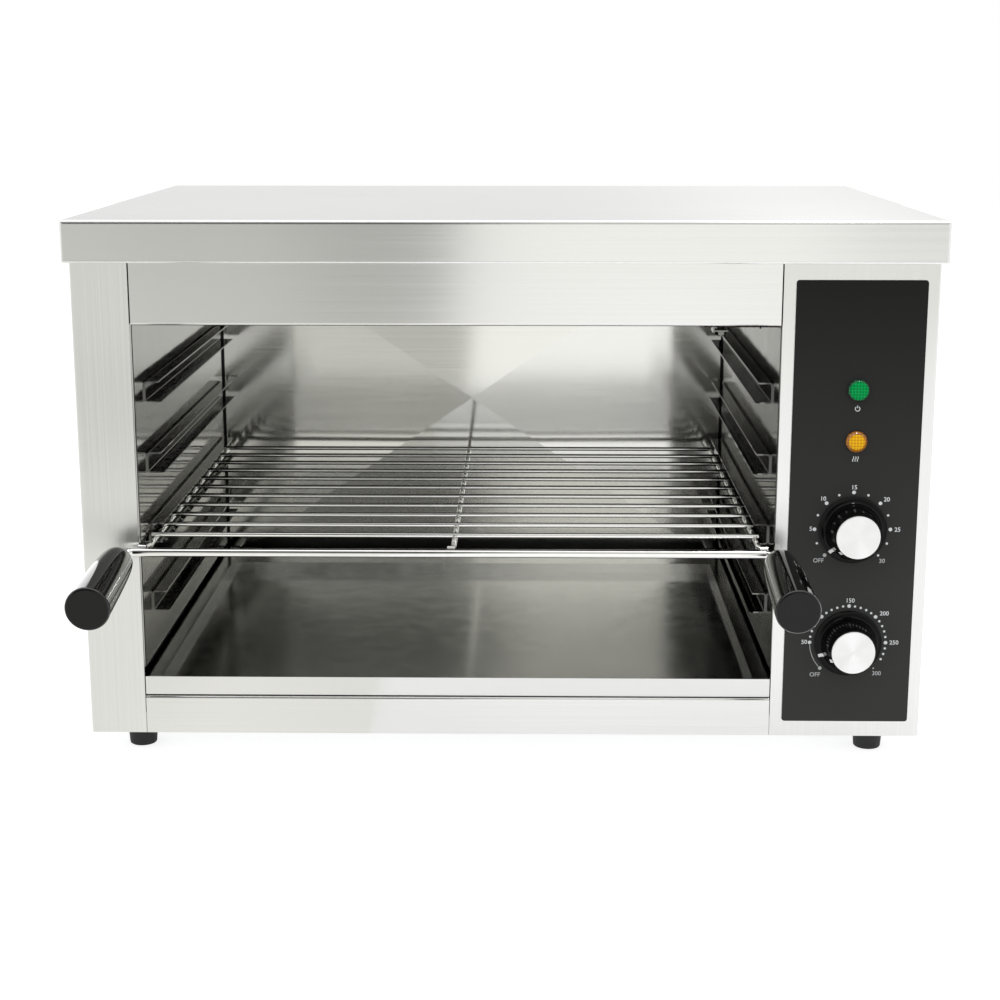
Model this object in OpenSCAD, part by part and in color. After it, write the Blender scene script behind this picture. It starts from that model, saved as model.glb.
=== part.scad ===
// Counter-top cheese melter. A folded steel casing holds an open-fronted cavity with four pairs
// of runners, a pull-out wire rack, a crumb tray, heating elements under the ceiling and a
// control box on the right. Millimetres, +Z up. The front faces -Y, the floor is Z = 0, and
// the origin is the middle of the footprint, from the handles' front ends to the cable gland.

/* [Casing] */
// Width of the lid, over its skirts
lid_w = 600; // [580:1:660]
// Depth of the lid, over its skirts
lid_d = 419; // [405:1:470]
// Height from the floor to the top of the lid
total_h = 383; // [376:1:420]
// How far the lid stands proud of the body on every side
lid_overhang = 4.5; // [3.5:0.1:7]
// Height of the lid's skirt
skirt_h = 29; // [22:1:34]
// Outer radius of the lid's folded edges
lid_edge_r = 3; // [2:0.1:5]
// Height of the hem folded inside the skirt's lower edge
hem_h = 8; // [5:1:12]
// Thickness of the steel sheet
sheet = 1; // [0.8:0.1:1.2]
// Width of the left post's front face
post_w = 39.5; // [34:0.5:50]
// Width of the control box's front face
control_w = 106; // [102:1:120]
// Distance from the lid's top down to the upper fascia's lower edge
fascia_drop = 72; // [66:1:80]
// Depth of the channel that the upper fascia is folded into
fascia_return = 20; // [14:1:30]
// Height of the lower fascia
lower_h = 27.5; // [20:0.5:27.5]
// Open seam beside the fascias
seam = 1; // [0.6:0.1:1.6]
// Width of the flange folded in at the casing's rear corners
rear_return = 20; // [16:1:30]
// Height of the base plate's upturned rim
base_rim = 15; // [10:1:18]
// Inner radius of the bends in the folded sheets
bend_r = 1; // [0.5:0.1:1.2]
// Distance from the ends of the casing's rear corners to their nearest screws
rear_screw_inset = 26; // [22:1:40]

/* [Cavity] */
// Depth of the cavity, from the casing's front to the cavity's back wall
cavity_d = 382; // [375:1:386]
// Distance from the lid's top down to the cavity's ceiling
ceiling_drop = 34; // [30:1:40]
// Gap between the crumb tray's rim and the side walls' lower edges
wall_gap = 5; // [3:0.5:9]
// How far the cross-broken back wall swells into the cavity
break_depth = 4; // [2:0.5:6]
// Width of the flanges that hold the cavity's walls
wall_flange = 14; // [11:1:18]
// Distance from the casing's front to the side walls' front edges
wall_setback = 7; // [2:0.5:10]

/* [Runners] */
// Distance from the fascia's lower edge down to the top pair of runners
runner_drop = 45; // [40:1:50]
// Gap between the crumb tray's rim and the lowest pair of runners
runner_rise = 37.1; // [34:0.1:48]
// Outer height of a runner
runner_h = 15; // [13:0.5:20]
// Width of a runner's lower flange
runner_flange = 12; // [11:0.5:16]
// How much narrower the upper flange is than the lower one
runner_step = 2; // [0:0.5:3]
// Distance from the casing's front to the runners' front ends
runner_inset = 40; // [15:1:60]
// Gap between the runners' rear ends and the back wall
runner_end_gap = 16; // [3:1:25]

/* [Rack] */
// Runner pair that carries the rack, counted from the top
rack_level = 3; // [1, 2, 3]
// Diameter of the rack's cross wires
cross_wire_d = 3.5; // [3:0.1:4]
// Diameter of the rack's long wires
long_wire_d = 4; // [3.5:0.1:5]
// Distance from one cross wire to the next
wire_pitch = 32.2; // [25:0.1:32.5]
// Distance from the casing's front to the first cross wire
first_wire = 36.2; // [20:0.1:40]
// Gap between the long wires' rear ends and the back wall
rack_end_gap = 8; // [6:1:14]
// Play between the ends of the cross wires and each side wall
rack_side_gap = 4.75; // [4:0.05:6]
// How far the rack lies to the left within its play
rack_shift = 2.5; // [0:0.1:2.6]
// Distance from a cross wire's end to the outer long wire's axis
wire_overrun = 2; // [2:0.1:4]
// Diameter of the front rod
rod_d = 6; // [5:0.1:7]
// Distance from the casing's front to the front rod's axis
rod_reach = 8.5; // [8.2:0.1:16]
// Height of the front rod's axis over the long wires' axis
rod_rise = 1.8; // [0:0.1:3]
// How far the front rod is set to the left of the wires' middle
rod_shift = 2.25; // [0:0.05:3]
// Angle at which the long wires rise to the front rod
wire_slope = 10; // [9:1:16]
// Length of the foot that is bent sideways at a long wire's front end
wire_foot = 3.5; // [2:0.5:6]
// Bend radius of the front rod's ends, to its axis
rod_bend_r = 8; // [6:0.5:9]

/* [Handles] */
// Distance from a cavity side to the axis of the handle in front of it
handle_outset = 4.55; // [3:0.05:12]
// Distance from the front rod to a handle's rear end
handle_start = 18.5; // [13:0.5:26]
// Length of a handle
handle_len = 93; // [80:1:110]
// Radius of a handle's rear end
handle_rear_r = 9.4; // [7:0.1:11]
// Radius of a handle at its front end
handle_front_r = 14.8; // [12:0.1:16]
// Rounding of a handle's front edge
handle_edge_r = 2; // [1:0.1:4]
// Angle by which the handles point down
handle_droop = 5; // [0:0.5:8]
// Depth of the rod's seat in a handle
handle_seat = 45; // [25:1:60]

/* [Crumb tray] */
// Height of the tray's front lip
tray_lip_h = 14; // [11:0.5:18]
// Inner depth of the tray
tray_depth = 8; // [6:0.5:9]
// Width of the flanges along the tray's sides
tray_flange = 12; // [9:0.5:15]
// Width of the flange along the tray's rear
tray_rear_flange = 20; // [10:1:30]
// Length of the tray from its lip to its rear edge
tray_len = 341; // [320:1:365]
// Gap between the tray's lip and each side of the opening
tray_side_gap = 0.75; // [0.5:0.05:1.5]
// Gap between the tray's lip and the lower fascia
tray_lift = 0.5; // [0.4:0.1:1.5]

/* [Controls] */
// Margin of casing left and right of the dark control plate
plate_margin_x = 8.5; // [6:0.5:12]
// Margin of casing over and under the dark control plate
plate_margin_z = 11.25; // [8:0.25:14]
// Thickness of the control plate
plate_t = 0.8; // [0.5:0.1:1.5]
// Corner radius of the control plate
plate_r = 2; // [1:0.5:6]
// Distance from the control plate's top down to the upper lamp
lamp_drop = 75; // [60:1:80]
// Distance from the upper lamp down to the lower one
lamp_pitch = 35.8; // [30:0.1:40]
// Radius of a lamp's lens at its rim
lens_r = 7.15; // [6.5:0.05:9]
// How far a lamp's lens stands out
lens_h = 4.5; // [3:0.5:7]
// Distance from the control plate's top down to the timer's shaft
knob_drop = 173; // [165:1:180]
// Distance from the timer's shaft down to the thermostat's
knob_pitch = 82.1; // [70:0.1:88]
// Radius of a knob's skirt
knob_r = 23.5; // [21:0.5:27]
// Height of a knob
knob_h = 23; // [18:0.5:30]
// Radius of a knob's grip behind its sloping front edge
grip_r = 17; // [16.2:0.1:19]
// Depth of the sloping edge round a knob's cap
grip_edge = 3; // [1:0.1:4]
// Radius of the turned cap on a knob's front
cap_r = 15.2; // [13:0.1:15.4]
// Gap between a knob's skirt and the control plate
knob_gap = 1.2; // [0.6:0.1:2]
// Diameter of the timer's and the thermostat's shafts
shaft_d = 6; // [5:0.1:7]

/* [Heating] */
// Diameter of the tubular heating elements
element_d = 8; // [6.5:0.1:9]
// Distance between the two legs of a heating element
element_span = 50; // [40:1:56]
// Distance from the ceiling down to the elements' axes
element_drop = 28; // [22:1:30]
// Distance from the casing's front to the front element's first leg
element_inset = 78; // [72:1:90]
// Distance from the rear element's last leg to the cavity's back wall
element_rear_inset = 92; // [60:1:100]
// Diameter of the thermostat's bulb
bulb_d = 6; // [4:0.1:7]
// How far the thermostat's bulb reaches into the cavity
bulb_reach = 48; // [46:1:90]

/* [Mains] */
// Diameter of the cable gland's bore
gland_bore_d = 13; // [8:0.1:14]
// Height of the gland and the earth stud over the casing's lower edge
gland_h = 45; // [35:1:70]
// Thickness of the gland's hexagon
gland_hex_t = 6; // [4:0.5:8]
// Length of the gland's tapered dome
gland_dome_l = 15; // [10:1:20]
// Distance from the casing's back to the terminal block
terminal_inset = 90; // [70:1:140]
// Diameter of the earth stud
stud_d = 6; // [5:0.1:8]

/* [Feet] */
// Height of a foot
foot_h = 18; // [14:1:30]
// Radius of a foot at its top
foot_top_r = 11; // [9:0.5:14]
// Radius of a foot at its sole
foot_sole_r = 9.75; // [8:0.25:12]
// Distance from the casing's side to a foot's axis
foot_inset_x = 30.5; // [16:0.5:31]
// Distance from the casing's front or rear to a foot's axis
foot_inset_y = 30; // [16:0.5:50]

/* [Hidden] */
$fn = 64;

// Small clearances: a part that rests on another body, a screw in its hole, a turning shaft
rest_gap = 0.3;
hole_gap = 0.2;
shaft_gap = 0.05;

// The body under the lid
body_w = lid_w - 2 * lid_overhang;
body_d = lid_d - 2 * lid_overhang;
half_w = body_w / 2;
body_z = foot_h;
under_lid = total_h - sheet;
fascia_z = total_h - fascia_drop;
base_t = 1.2 * sheet;
floor_z = body_z + base_t;

// The overall depth, from the handles' front ends to the gland, sets where the front lies
handle_reach = rod_reach + (handle_start + handle_len - handle_edge_r) * cos(handle_droop)
    + (handle_front_r - handle_edge_r) * sin(handle_droop) + handle_edge_r;
rear_reach = body_d - sheet + gland_hex_t + gland_dome_l;
front_y = (handle_reach - rear_reach) / 2;
rear_y = front_y + body_d;

// The cavity between the post and the control box
cavity_l = -half_w + post_w;
cavity_r = half_w - control_w;
cavity_w = cavity_r - cavity_l;
cavity_x = (cavity_l + cavity_r) / 2;
cavity_rear = front_y + cavity_d;
ceiling_z = total_h - ceiling_drop;
ceiling_rim = 10;
wall_top = ceiling_z + ceiling_rim;

// The crumb tray, its rim and the ledges that it slides on
tray_bottom = body_z + lower_h + tray_lift;
tray_rim_z = tray_bottom + tray_lip_h;
tray_l = cavity_l + tray_side_gap;
tray_r = cavity_r - tray_side_gap;
wall_z = tray_rim_z + wall_gap;
ledge_z = tray_rim_z - sheet - rest_gap;

// The runners and the rack that lies in one pair
runner_top = fascia_z - runner_drop - runner_h;
runner_pitch = (runner_top - tray_rim_z - runner_rise) / 3;
runner_len = cavity_d - runner_inset - runner_end_gap;
runner_y = front_y + runner_inset;
long_wire_z = runner_z(rack_level) + sheet + rest_gap + long_wire_d / 2;
cross_wire_z = long_wire_z + (long_wire_d + cross_wire_d) / 2;
rod_z = long_wire_z + rod_rise;
rod_y = front_y - rod_reach;
rack_x = cavity_x - rack_shift;
rod_x = rack_x - rod_shift;
rack_half = cavity_w / 2 - rack_side_gap;
rack_rear = cavity_rear - rack_end_gap;
handle_half = cavity_w / 2 + handle_outset;
wire_count = floor((rack_rear - front_y - first_wire - cross_wire_d) / wire_pitch) + 1;

// The control box
control_x = (cavity_r + half_w) / 2;
plate_z = body_z + plate_margin_z;
plate_top = total_h - skirt_h - plate_margin_z;
lamp_z = [plate_top - lamp_drop, plate_top - lamp_drop - lamp_pitch];
timer_z = plate_top - knob_drop;
thermostat_z = timer_z - knob_pitch;
plate_y = front_y - plate_t;
knob_y = plate_y - knob_gap;
lamp_hole_r = 5.2;
shaft_hole_r = shaft_d / 2 + 2;
control_screw_r = 1.5;
control_screw_x = 14;

// The heating elements: the Y place of each leg's axis, front pair first
element_z = ceiling_z - element_drop;
element_front = front_y + element_inset;
element_rear = cavity_rear - element_rear_inset - element_span;
hairpin_x = cavity_l + 34 + element_span / 2;
bracket_l = cavity_l + 70;
bracket_r = cavity_r - 42;
bulb_y = element_front - 16;
bulb_z = fascia_z - 5.5;

// The rear fittings
gland_r = 10;
gland_z = body_z + gland_h;
stud_x = control_x - 36;
screw_r = 1.8;
rear_screw_x = half_w - rear_return / 2;
rear_screw_low = body_z + rear_screw_inset;
rear_screw_high = total_h - skirt_h - rear_screw_inset;
rear_screw_z = [rear_screw_low, (rear_screw_low + rear_screw_high) / 2, rear_screw_high];
lid_screw_x = 150;
lid_screw_z = total_h - skirt_h / 2;
foot_bolt_r = 2.4;

// Lowest point of a runner, counted from the top pair
function runner_z(level) = runner_top - (level - 1) * runner_pitch;

// Radius of a handle at a share s of its length: it swells fast behind the rear end
function handle_r(s) = handle_rear_r + (handle_front_r - handle_rear_r) * pow(s, 0.32);

// Carries a section drawn in Y and Z along X, from x
module along_x(x, length) {
    translate([x, 0, 0]) rotate([90, 0, 90]) linear_extrude(length) children();
}

// Carries a section drawn in X and Z along Y, from y
module along_y(y, length) {
    translate([0, y + length, 0]) rotate([90, 0, 0]) linear_extrude(length) children();
}

// Carries a plan drawn in X and Y up from z
module along_z(z, length) {
    translate([0, 0, z]) linear_extrude(length) children();
}

// Section of folded sheet. Each point is the low corner of the square where two runs would
// meet if they weren't rounded. The runs lie along the axes.
module folded(points, t = sheet) {
    last = len(points) - 1;
    mid_r = bend_r + t / 2;
    middle = [t / 2, t / 2];
    for (i = [0 : last - 1]) {
        run = points[i + 1] - points[i];
        on = run / norm(run);
        a = points[i] + middle + (i == 0 ? -t / 2 : mid_r) * on;
        b = points[i + 1] + middle - (i == last - 1 ? -t / 2 : mid_r) * on;
        across = [abs(on.y), abs(on.x)] * t;
        translate([min(a.x, b.x), min(a.y, b.y)] - across / 2)
            square([abs(b.x - a.x), abs(b.y - a.y)] + across);
    }
    for (i = [1 : last - 1]) {
        before = points[i - 1] - points[i];
        after = points[i + 1] - points[i];
        inward = before / norm(before) + after / norm(after);
        translate(points[i] + middle + mid_r * inward) mirror([inward.x > 0 ? 1 : 0, 0])
            mirror([0, inward.y > 0 ? 1 : 0]) quarter_ring(bend_r, bend_r + t);
    }
}

// Quarter of a ring, at +X and +Y of its centre
module quarter_ring(inner, outer) {
    intersection() {
        difference() {
            circle(outer, $fn = 32);
            circle(inner, $fn = 32);
        }
        square(outer);
    }
}

// A round bar along Y, from y
module bar_y(x, y, z, r, length) {
    translate([x, y + length, z]) rotate([90, 0, 0]) cylinder(r = r, h = length);
}

// A round bar along X, from x
module bar_x(x, y, z, r, length) {
    translate([x, y, z]) rotate([90, 0, 90]) cylinder(r = r, h = length);
}

// A hexagon bar along Y, from y
module hex_y(x, y, z, flats, length) {
    translate([x, y + length, z]) rotate([90, 0, 0])
        cylinder(d = flats / cos(30), h = length, $fn = 6);
}

// Plan of a plate with round corners, centred
module rounded_plan(w, d, r) {
    square([w - 2 * r, d], center = true);
    square([w, d - 2 * r], center = true);
    for (sx = [-1, 1], sy = [-1, 1])
        translate([sx * (w / 2 - r), sy * (d / 2 - r)]) circle(r);
}

// Section with round upper corners, standing on the axis
module arched(w, h, r) {
    translate([-w / 2, 0]) square([w, h - r]);
    translate([-w / 2 + r, 0]) square([w - 2 * r, h]);
    for (s = [-1, 1]) translate([s * (w / 2 - r), h - r]) circle(r);
}

// Block with round upper and upright edges
module lid_block(w, d, h, r) {
    intersection() {
        linear_extrude(h) rounded_plan(w, d, r);
        along_x(-w / 2, w) arched(d, h, r);
        along_y(-d / 2, d) arched(w, h, r);
    }
}

// Slot with round ends, its length along X and open along Z
module slot_plan(length, w) {
    square([length - w, w], center = true);
    for (s = [-1, 1]) translate([s * (length - w) / 2, 0]) circle(d = w);
}

// ---- Casing ----

module top_cover() {
    color("gainsboro") translate([0, (front_y + rear_y) / 2, total_h - skirt_h])
        difference() {
            union() {
                difference() {
                    lid_block(lid_w, lid_d, skirt_h, lid_edge_r);
                    translate([0, 0, -sheet])
                        lid_block(lid_w - 2 * sheet, lid_d - 2 * sheet, skirt_h,
                            lid_edge_r - sheet);
                }
                linear_extrude(hem_h) difference() {
                    rounded_plan(lid_w - sheet, lid_d - sheet, lid_edge_r - sheet / 2);
                    square([lid_w - 4 * sheet, lid_d - 4 * sheet], center = true);
                }
            }
            for (s = [-1, 1])
                bar_y(s * lid_screw_x, lid_d / 2 - 5 * sheet, skirt_h / 2,
                    screw_r + hole_gap, 6 * sheet);
        }
}

// Holes for the screws that fix one rear corner
module rear_screw_holes(side) {
    for (z = rear_screw_z)
        bar_y(side * rear_screw_x, rear_y - 3 * sheet, z, screw_r + hole_gap, 4 * sheet);
}

module left_side_panel() {
    hem_w = 10;
    color("lightgray") difference() {
        union() {
            along_z(body_z, under_lid - body_z) folded([
                [cavity_l - sheet, front_y],
                [-half_w, front_y],
                [-half_w, rear_y - sheet],
                [-half_w + rear_return - sheet, rear_y - sheet]
            ]);
            translate([cavity_l - hem_w, front_y + sheet / 2, body_z + base_rim])
                cube([hem_w, 1.5 * sheet, under_lid - body_z - base_rim]);
        }
        rear_screw_holes(-1);
    }
}

module control_housing() {
    hem_w = 10;
    color("lightgray") difference() {
        union() {
            along_z(body_z, under_lid - body_z) folded([
                [cavity_r, front_y],
                [half_w - sheet, front_y],
                [half_w - sheet, rear_y - sheet],
                [half_w - rear_return, rear_y - sheet]
            ]);
            translate([cavity_r, front_y + sheet / 2, body_z + base_rim])
                cube([hem_w, 1.5 * sheet, under_lid - body_z - base_rim]);
        }
        rear_screw_holes(1);
        control_holes(front_y, sheet);
    }
}

// Holes for lamps, shafts and fixing screws through a front wall of thickness t
module control_holes(y, t) {
    for (z = lamp_z) bar_y(control_x, y - t, z, lamp_hole_r, 3 * t);
    for (z = [timer_z, thermostat_z]) {
        bar_y(control_x, y - t, z, shaft_hole_r, 3 * t);
        for (s = [-1, 1])
            bar_y(control_x + s * control_screw_x, y - t, z,
                control_screw_r + hole_gap, 3 * t);
    }
}

// Pressed louvre, seen from the rear: a hood that is open at its lower side
module louvre(length, depth) {
    difference() {
        along_x(-length / 2, length) intersection() {
            circle(depth);
            square(depth);
        }
        along_x(-length / 2 + sheet, length - 2 * sheet) intersection() {
            circle(depth - sheet);
            translate([-sheet, -sheet]) square(depth + sheet);
        }
    }
}

module back_panel() {
    louvre_w = 56;
    louvre_d = 5;
    louvre_pitch = 14;
    louvre_rows = 5;
    louvre_z = total_h - skirt_h - 44;
    panel_y = rear_y - 2 * sheet;
    color("silver") difference() {
        union() {
            translate([-half_w + sheet + bend_r, panel_y, floor_z])
                cube([body_w - 2 * (sheet + bend_r), sheet, under_lid - floor_z]);
            for (i = [0 : louvre_rows - 1])
                translate([control_x - 10, rear_y - sheet, louvre_z - i * louvre_pitch])
                    louvre(louvre_w, louvre_d);
        }
        for (i = [0 : louvre_rows - 1])
            translate([control_x - 10 - louvre_w / 2 + sheet, panel_y - sheet,
                    louvre_z - i * louvre_pitch])
                cube([louvre_w - 2 * sheet, 2 * sheet + sheet / 2, louvre_d - sheet]);
        for (s = [-1, 1]) {
            rear_screw_holes(s);
            bar_y(s * lid_screw_x, panel_y - sheet, lid_screw_z, screw_r + hole_gap, 3 * sheet);
        }
        bar_y(control_x, panel_y - sheet, gland_z, gland_r + hole_gap, 3 * sheet);
        bar_y(stud_x, panel_y - sheet, gland_z, stud_d / 2 + hole_gap, 3 * sheet);
    }
}

// Carries its children to the four feet
module at_feet() {
    for (sx = [-1, 1], y = [front_y + foot_inset_y, rear_y - foot_inset_y])
        translate([sx * (half_w - foot_inset_x), y, 0]) children();
}

module base_plate() {
    vent_pitch = 14;
    vent_count = 6;
    plate_w = body_w - 2 * sheet;
    plate_d = body_d - 3 * sheet;
    middle_y = front_y + sheet + plate_d / 2;
    color("darkgray") difference() {
        translate([0, middle_y, body_z]) linear_extrude(base_rim)
            rounded_plan(plate_w, plate_d, bend_r + sheet);
        translate([0, middle_y, floor_z]) linear_extrude(base_rim)
            rounded_plan(plate_w - 2 * sheet, plate_d - 2 * sheet, bend_r);
        at_feet() translate([0, 0, body_z - sheet])
            cylinder(r = foot_bolt_r + hole_gap, h = 4 * sheet);
        for (i = [0 : vent_count - 1])
            translate([control_x, front_y + 130 + i * vent_pitch, body_z - sheet])
                linear_extrude(4 * sheet) slot_plan(60, 5);
    }
}

module upper_fascia() {
    x = cavity_l + seam;
    w = cavity_w - 2 * seam;
    color("gainsboro") {
        along_x(x, w) folded([
            [front_y, under_lid - sheet],
            [front_y, fascia_z],
            [front_y + fascia_return, fascia_z],
            [front_y + fascia_return, wall_top - sheet]
        ]);
        for (tab_x = [x, x + w - sheet])
            translate([tab_x, front_y + sheet, fascia_z + sheet])
                cube([sheet, fascia_return - sheet, wall_top - fascia_z - sheet]);
    }
}

module lower_fascia() {
    top_return = 12;
    color("gainsboro") along_x(cavity_l + seam / 2, cavity_w - seam) folded([
        [front_y, body_z],
        [front_y, body_z + lower_h - sheet],
        [front_y + top_return, body_z + lower_h - sheet],
        [front_y + top_return, body_z + lower_h - 5 * sheet]
    ]);
}

// ---- Cavity ----

// Plan of a cavity wall, flanged away from the cavity at both ends. Its inner face is X = 0.
module cavity_wall_plan() {
    folded([
        [-wall_flange, front_y + wall_setback],
        [-sheet, front_y + wall_setback],
        [-sheet, cavity_rear - sheet],
        [-wall_flange, cavity_rear - sheet]
    ]);
}

module cavity_left_wall() {
    color("silver") translate([cavity_l, 0, 0])
        along_z(wall_z, wall_top - wall_z) cavity_wall_plan();
}

module cavity_right_wall() {
    color("silver") difference() {
        translate([cavity_r, 0, 0]) mirror([1, 0, 0])
            along_z(wall_z, wall_top - wall_z) cavity_wall_plan();
        for (y = [element_front, element_rear], leg = [0, element_span])
            bar_x(cavity_r - sheet, y + leg, element_z, element_d / 2 + hole_gap, 3 * sheet);
        bar_x(cavity_r - sheet, bulb_y, bulb_z, bulb_d / 2 + hole_gap, 3 * sheet);
    }
}

// Four corners of a frame around the cavity's mouth, grown by edge, at y
function frame_corners(edge, y) = let(
    low = tray_bottom - edge,
    high = ceiling_z + edge
) [
    [cavity_l - edge, y, low],
    [cavity_r + edge, y, low],
    [cavity_r + edge, y, high],
    [cavity_l - edge, y, high]
];

// The back wall's front side at y: flat border, inner frame and the raised middle point
function broken_side(y) = let(inner = frame_corners(0, y)) concat(
    frame_corners(wall_flange, y),
    inner,
    [[cavity_x, y - break_depth, (inner[0].z + inner[2].z) / 2]]
);

module cavity_back_wall() {
    side = [0 : 3];
    front = broken_side(cavity_rear);
    back = broken_side(cavity_rear + sheet);
    n = len(front);
    color("silver") polyhedron(
        points = concat(front, back),
        faces = concat(
            [for (i = side) [8, 4 + i, 4 + (i + 1) % 4]],
            [for (i = side) [i, (i + 1) % 4, 4 + (i + 1) % 4, 4 + i]],
            [for (i = side) [n + 8, n + 4 + (i + 1) % 4, n + 4 + i]],
            [for (i = side) [n + 4 + i, n + 4 + (i + 1) % 4, n + (i + 1) % 4, n + i]],
            [for (i = side) [n + i, n + (i + 1) % 4, (i + 1) % 4, i]]
        )
    );
}

module cavity_ceiling() {
    y = front_y + fascia_return + sheet;
    color("silver") {
        along_y(y, cavity_rear - y) folded([
            [cavity_l, wall_top - sheet],
            [cavity_l, ceiling_z],
            [cavity_r - sheet, ceiling_z],
            [cavity_r - sheet, wall_top - sheet]
        ]);
        translate([cavity_l + sheet, y, ceiling_z + sheet])
            cube([cavity_w - 2 * sheet, sheet, ceiling_rim - sheet]);
    }
}

// ---- Runners ----

// One channel, its web on X = 0 and its flanges towards +X, with cut front corners
module runner_channel() {
    cut = 4;
    difference() {
        along_y(0, runner_len) folded([
            [runner_flange - runner_step - sheet, runner_h - sheet],
            [0, runner_h - sheet],
            [0, 0],
            [runner_flange - sheet, 0]
        ]);
        translate([0, 0, -sheet]) linear_extrude(3 * sheet) polygon([
            [runner_flange - cut, -sheet],
            [runner_flange + sheet, -sheet],
            [runner_flange + sheet, cut + sheet]
        ]);
    }
}

module left_runner(level) {
    color("darkgray") translate([cavity_l, runner_y, runner_z(level)]) runner_channel();
}

module right_runner(level) {
    color("darkgray") translate([cavity_r, runner_y, runner_z(level)])
        mirror([1, 0, 0]) runner_channel();
}

// Channel on the base plate whose upper flange carries the tray's side flange
module tray_runner_channel() {
    inner = tray_side_gap + tray_flange - 3.5 * sheet;
    along_y(front_y + 16, cavity_rear - front_y - 20) folded([
        [inner - tray_flange, ledge_z - sheet],
        [inner, ledge_z - sheet],
        [inner, floor_z],
        [inner - tray_flange, floor_z]
    ]);
}

module left_tray_runner() {
    color("darkgray") translate([cavity_l, 0, 0]) tray_runner_channel();
}

module right_tray_runner() {
    color("darkgray") translate([cavity_r, 0, 0]) mirror([1, 0, 0]) tray_runner_channel();
}

// ---- Heating ----

// Rear half of a hairpin, from the middle of its bend to the pin outside the cavity
module hairpin_half() {
    sleeve_l = cavity_r + 16 - hairpin_x;
    pin_l = 9;
    r = element_span / 2;
    rotate([0, 0, 90]) rotate_extrude(angle = 90) translate([r, 0]) circle(d = element_d);
    bar_x(0, r, 0, element_d / 2, sleeve_l);
    bar_x(sleeve_l, r, 0, element_d / 4, pin_l);
    for (nut_x = [cavity_r - 4, cavity_r + sheet])
        translate([nut_x - hairpin_x, r, 0]) rotate([0, 90, 0])
            cylinder(d = 2 * element_d / cos(30), h = 4, $fn = 6);
}

// Hairpin element: its bend is at the left, and its legs leave through the right wall
module hairpin(y) {
    color("dimgray") translate([hairpin_x, y + element_span / 2, element_z]) {
        hairpin_half();
        mirror([0, 1, 0]) hairpin_half();
    }
}

module front_element() {
    hairpin(element_front);
}

module rear_element() {
    hairpin(element_rear);
}

// Hanger under the ceiling with a hole round each leg of both elements
module element_bracket(x, foot_w, foot_low) {
    margin = 14;
    y = element_front - margin;
    length = element_rear + element_span + margin - y;
    low = element_z - element_d / 2 - 5;
    color("silver") difference() {
        union() {
            translate([x, y, low]) cube([sheet, length, ceiling_z - low]);
            translate([x, y, ceiling_z - sheet]) cube([margin, length, sheet]);
            translate([x, y - foot_w, foot_low]) cube([sheet, foot_w + sheet, ceiling_z - foot_low]);
        }
        for (leg_y = [element_front, element_rear], leg = [0, element_span])
            bar_x(x - sheet, leg_y + leg, element_z, element_d / 2 + hole_gap, 3 * sheet);
        bar_x(x - sheet, bulb_y, bulb_z, bulb_d / 2 + hole_gap, 3 * sheet);
    }
}

module left_element_bracket() {
    element_bracket(bracket_l, sheet, element_z);
}

// The right hanger's front end reaches down and holds the tip of the thermostat's bulb. A stud
// with a nut stands under its folded foot.
module right_element_bracket() {
    tip_w = 14;
    foot_l = 11;
    foot_z = bulb_z - bulb_d / 2 - 2.5;
    element_bracket(bracket_r, tip_w, foot_z);
    color("silver") translate([bracket_r, bulb_y - foot_l / 2, foot_z]) {
        cube([foot_l, foot_l, sheet]);
        translate([foot_l - 4.5, foot_l / 2, -2.8]) cylinder(d = 7 / cos(30), h = 2.8, $fn = 6);
        translate([foot_l - 4.5, foot_l / 2, -3.8]) cylinder(r = 2, h = 3.8 + sheet / 2);
    }
}

module thermostat_bulb() {
    shoulder = 6;
    color("darkgoldenrod") {
        bar_x(cavity_r - bulb_reach, bulb_y, bulb_z, bulb_d / 2, bulb_reach + shoulder);
        bar_x(cavity_r + shoulder, bulb_y, bulb_z, bulb_d / 4, shoulder);
    }
}

// Saddle on the right wall that clamps the bulb
module bulb_clip() {
    clip_w = 8;
    leg_h = bulb_d + 8;
    color("silver") difference() {
        union() {
            translate([cavity_r - clip_w, bulb_y - sheet / 2, bulb_z])
                cube([sheet, sheet, leg_h]);
            bar_x(cavity_r - clip_w, bulb_y, bulb_z, bulb_d / 2 + sheet, sheet);
            translate([cavity_r - clip_w, bulb_y - bulb_d / 2 - sheet, bulb_z])
                cube([sheet, bulb_d + 2 * sheet, leg_h]);
            translate([cavity_r - clip_w, bulb_y - bulb_d / 2 - sheet, bulb_z + leg_h - sheet])
                cube([clip_w, bulb_d + 2 * sheet, sheet]);
            translate([cavity_r - sheet, bulb_y - bulb_d / 2 - sheet, bulb_z + bulb_d])
                cube([sheet, bulb_d + 2 * sheet, leg_h - bulb_d]);
        }
        bar_x(cavity_r - clip_w - sheet, bulb_y, bulb_z, bulb_d / 2 + hole_gap / 4, 3 * sheet);
    }
}

// Thin tube from the bulb's outer end down to the top of the thermostat
module capillary_tube() {
    r = 1;
    start_x = cavity_r + 12;
    drop_x = start_x + 14;
    low_z = thermostat_z + 36;
    end_y = front_y + 18;
    corners = [
        [start_x, bulb_y, bulb_z],
        [drop_x, bulb_y, bulb_z],
        [drop_x, bulb_y, low_z],
        [control_x, bulb_y, low_z],
        [control_x, end_y, low_z],
        [control_x, end_y, thermostat_z + 22]
    ];
    color("peru") {
        for (i = [0 : len(corners) - 2]) {
            a = corners[i];
            step = corners[i + 1] - a;
            length = norm(step);
            translate(a) rotate([0, acos(step.z / length), atan2(step.y, step.x)])
                cylinder(r = r, h = length);
        }
        for (i = [1 : len(corners) - 2]) translate(corners[i]) sphere(r);
    }
}

// ---- Controls ----

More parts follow.
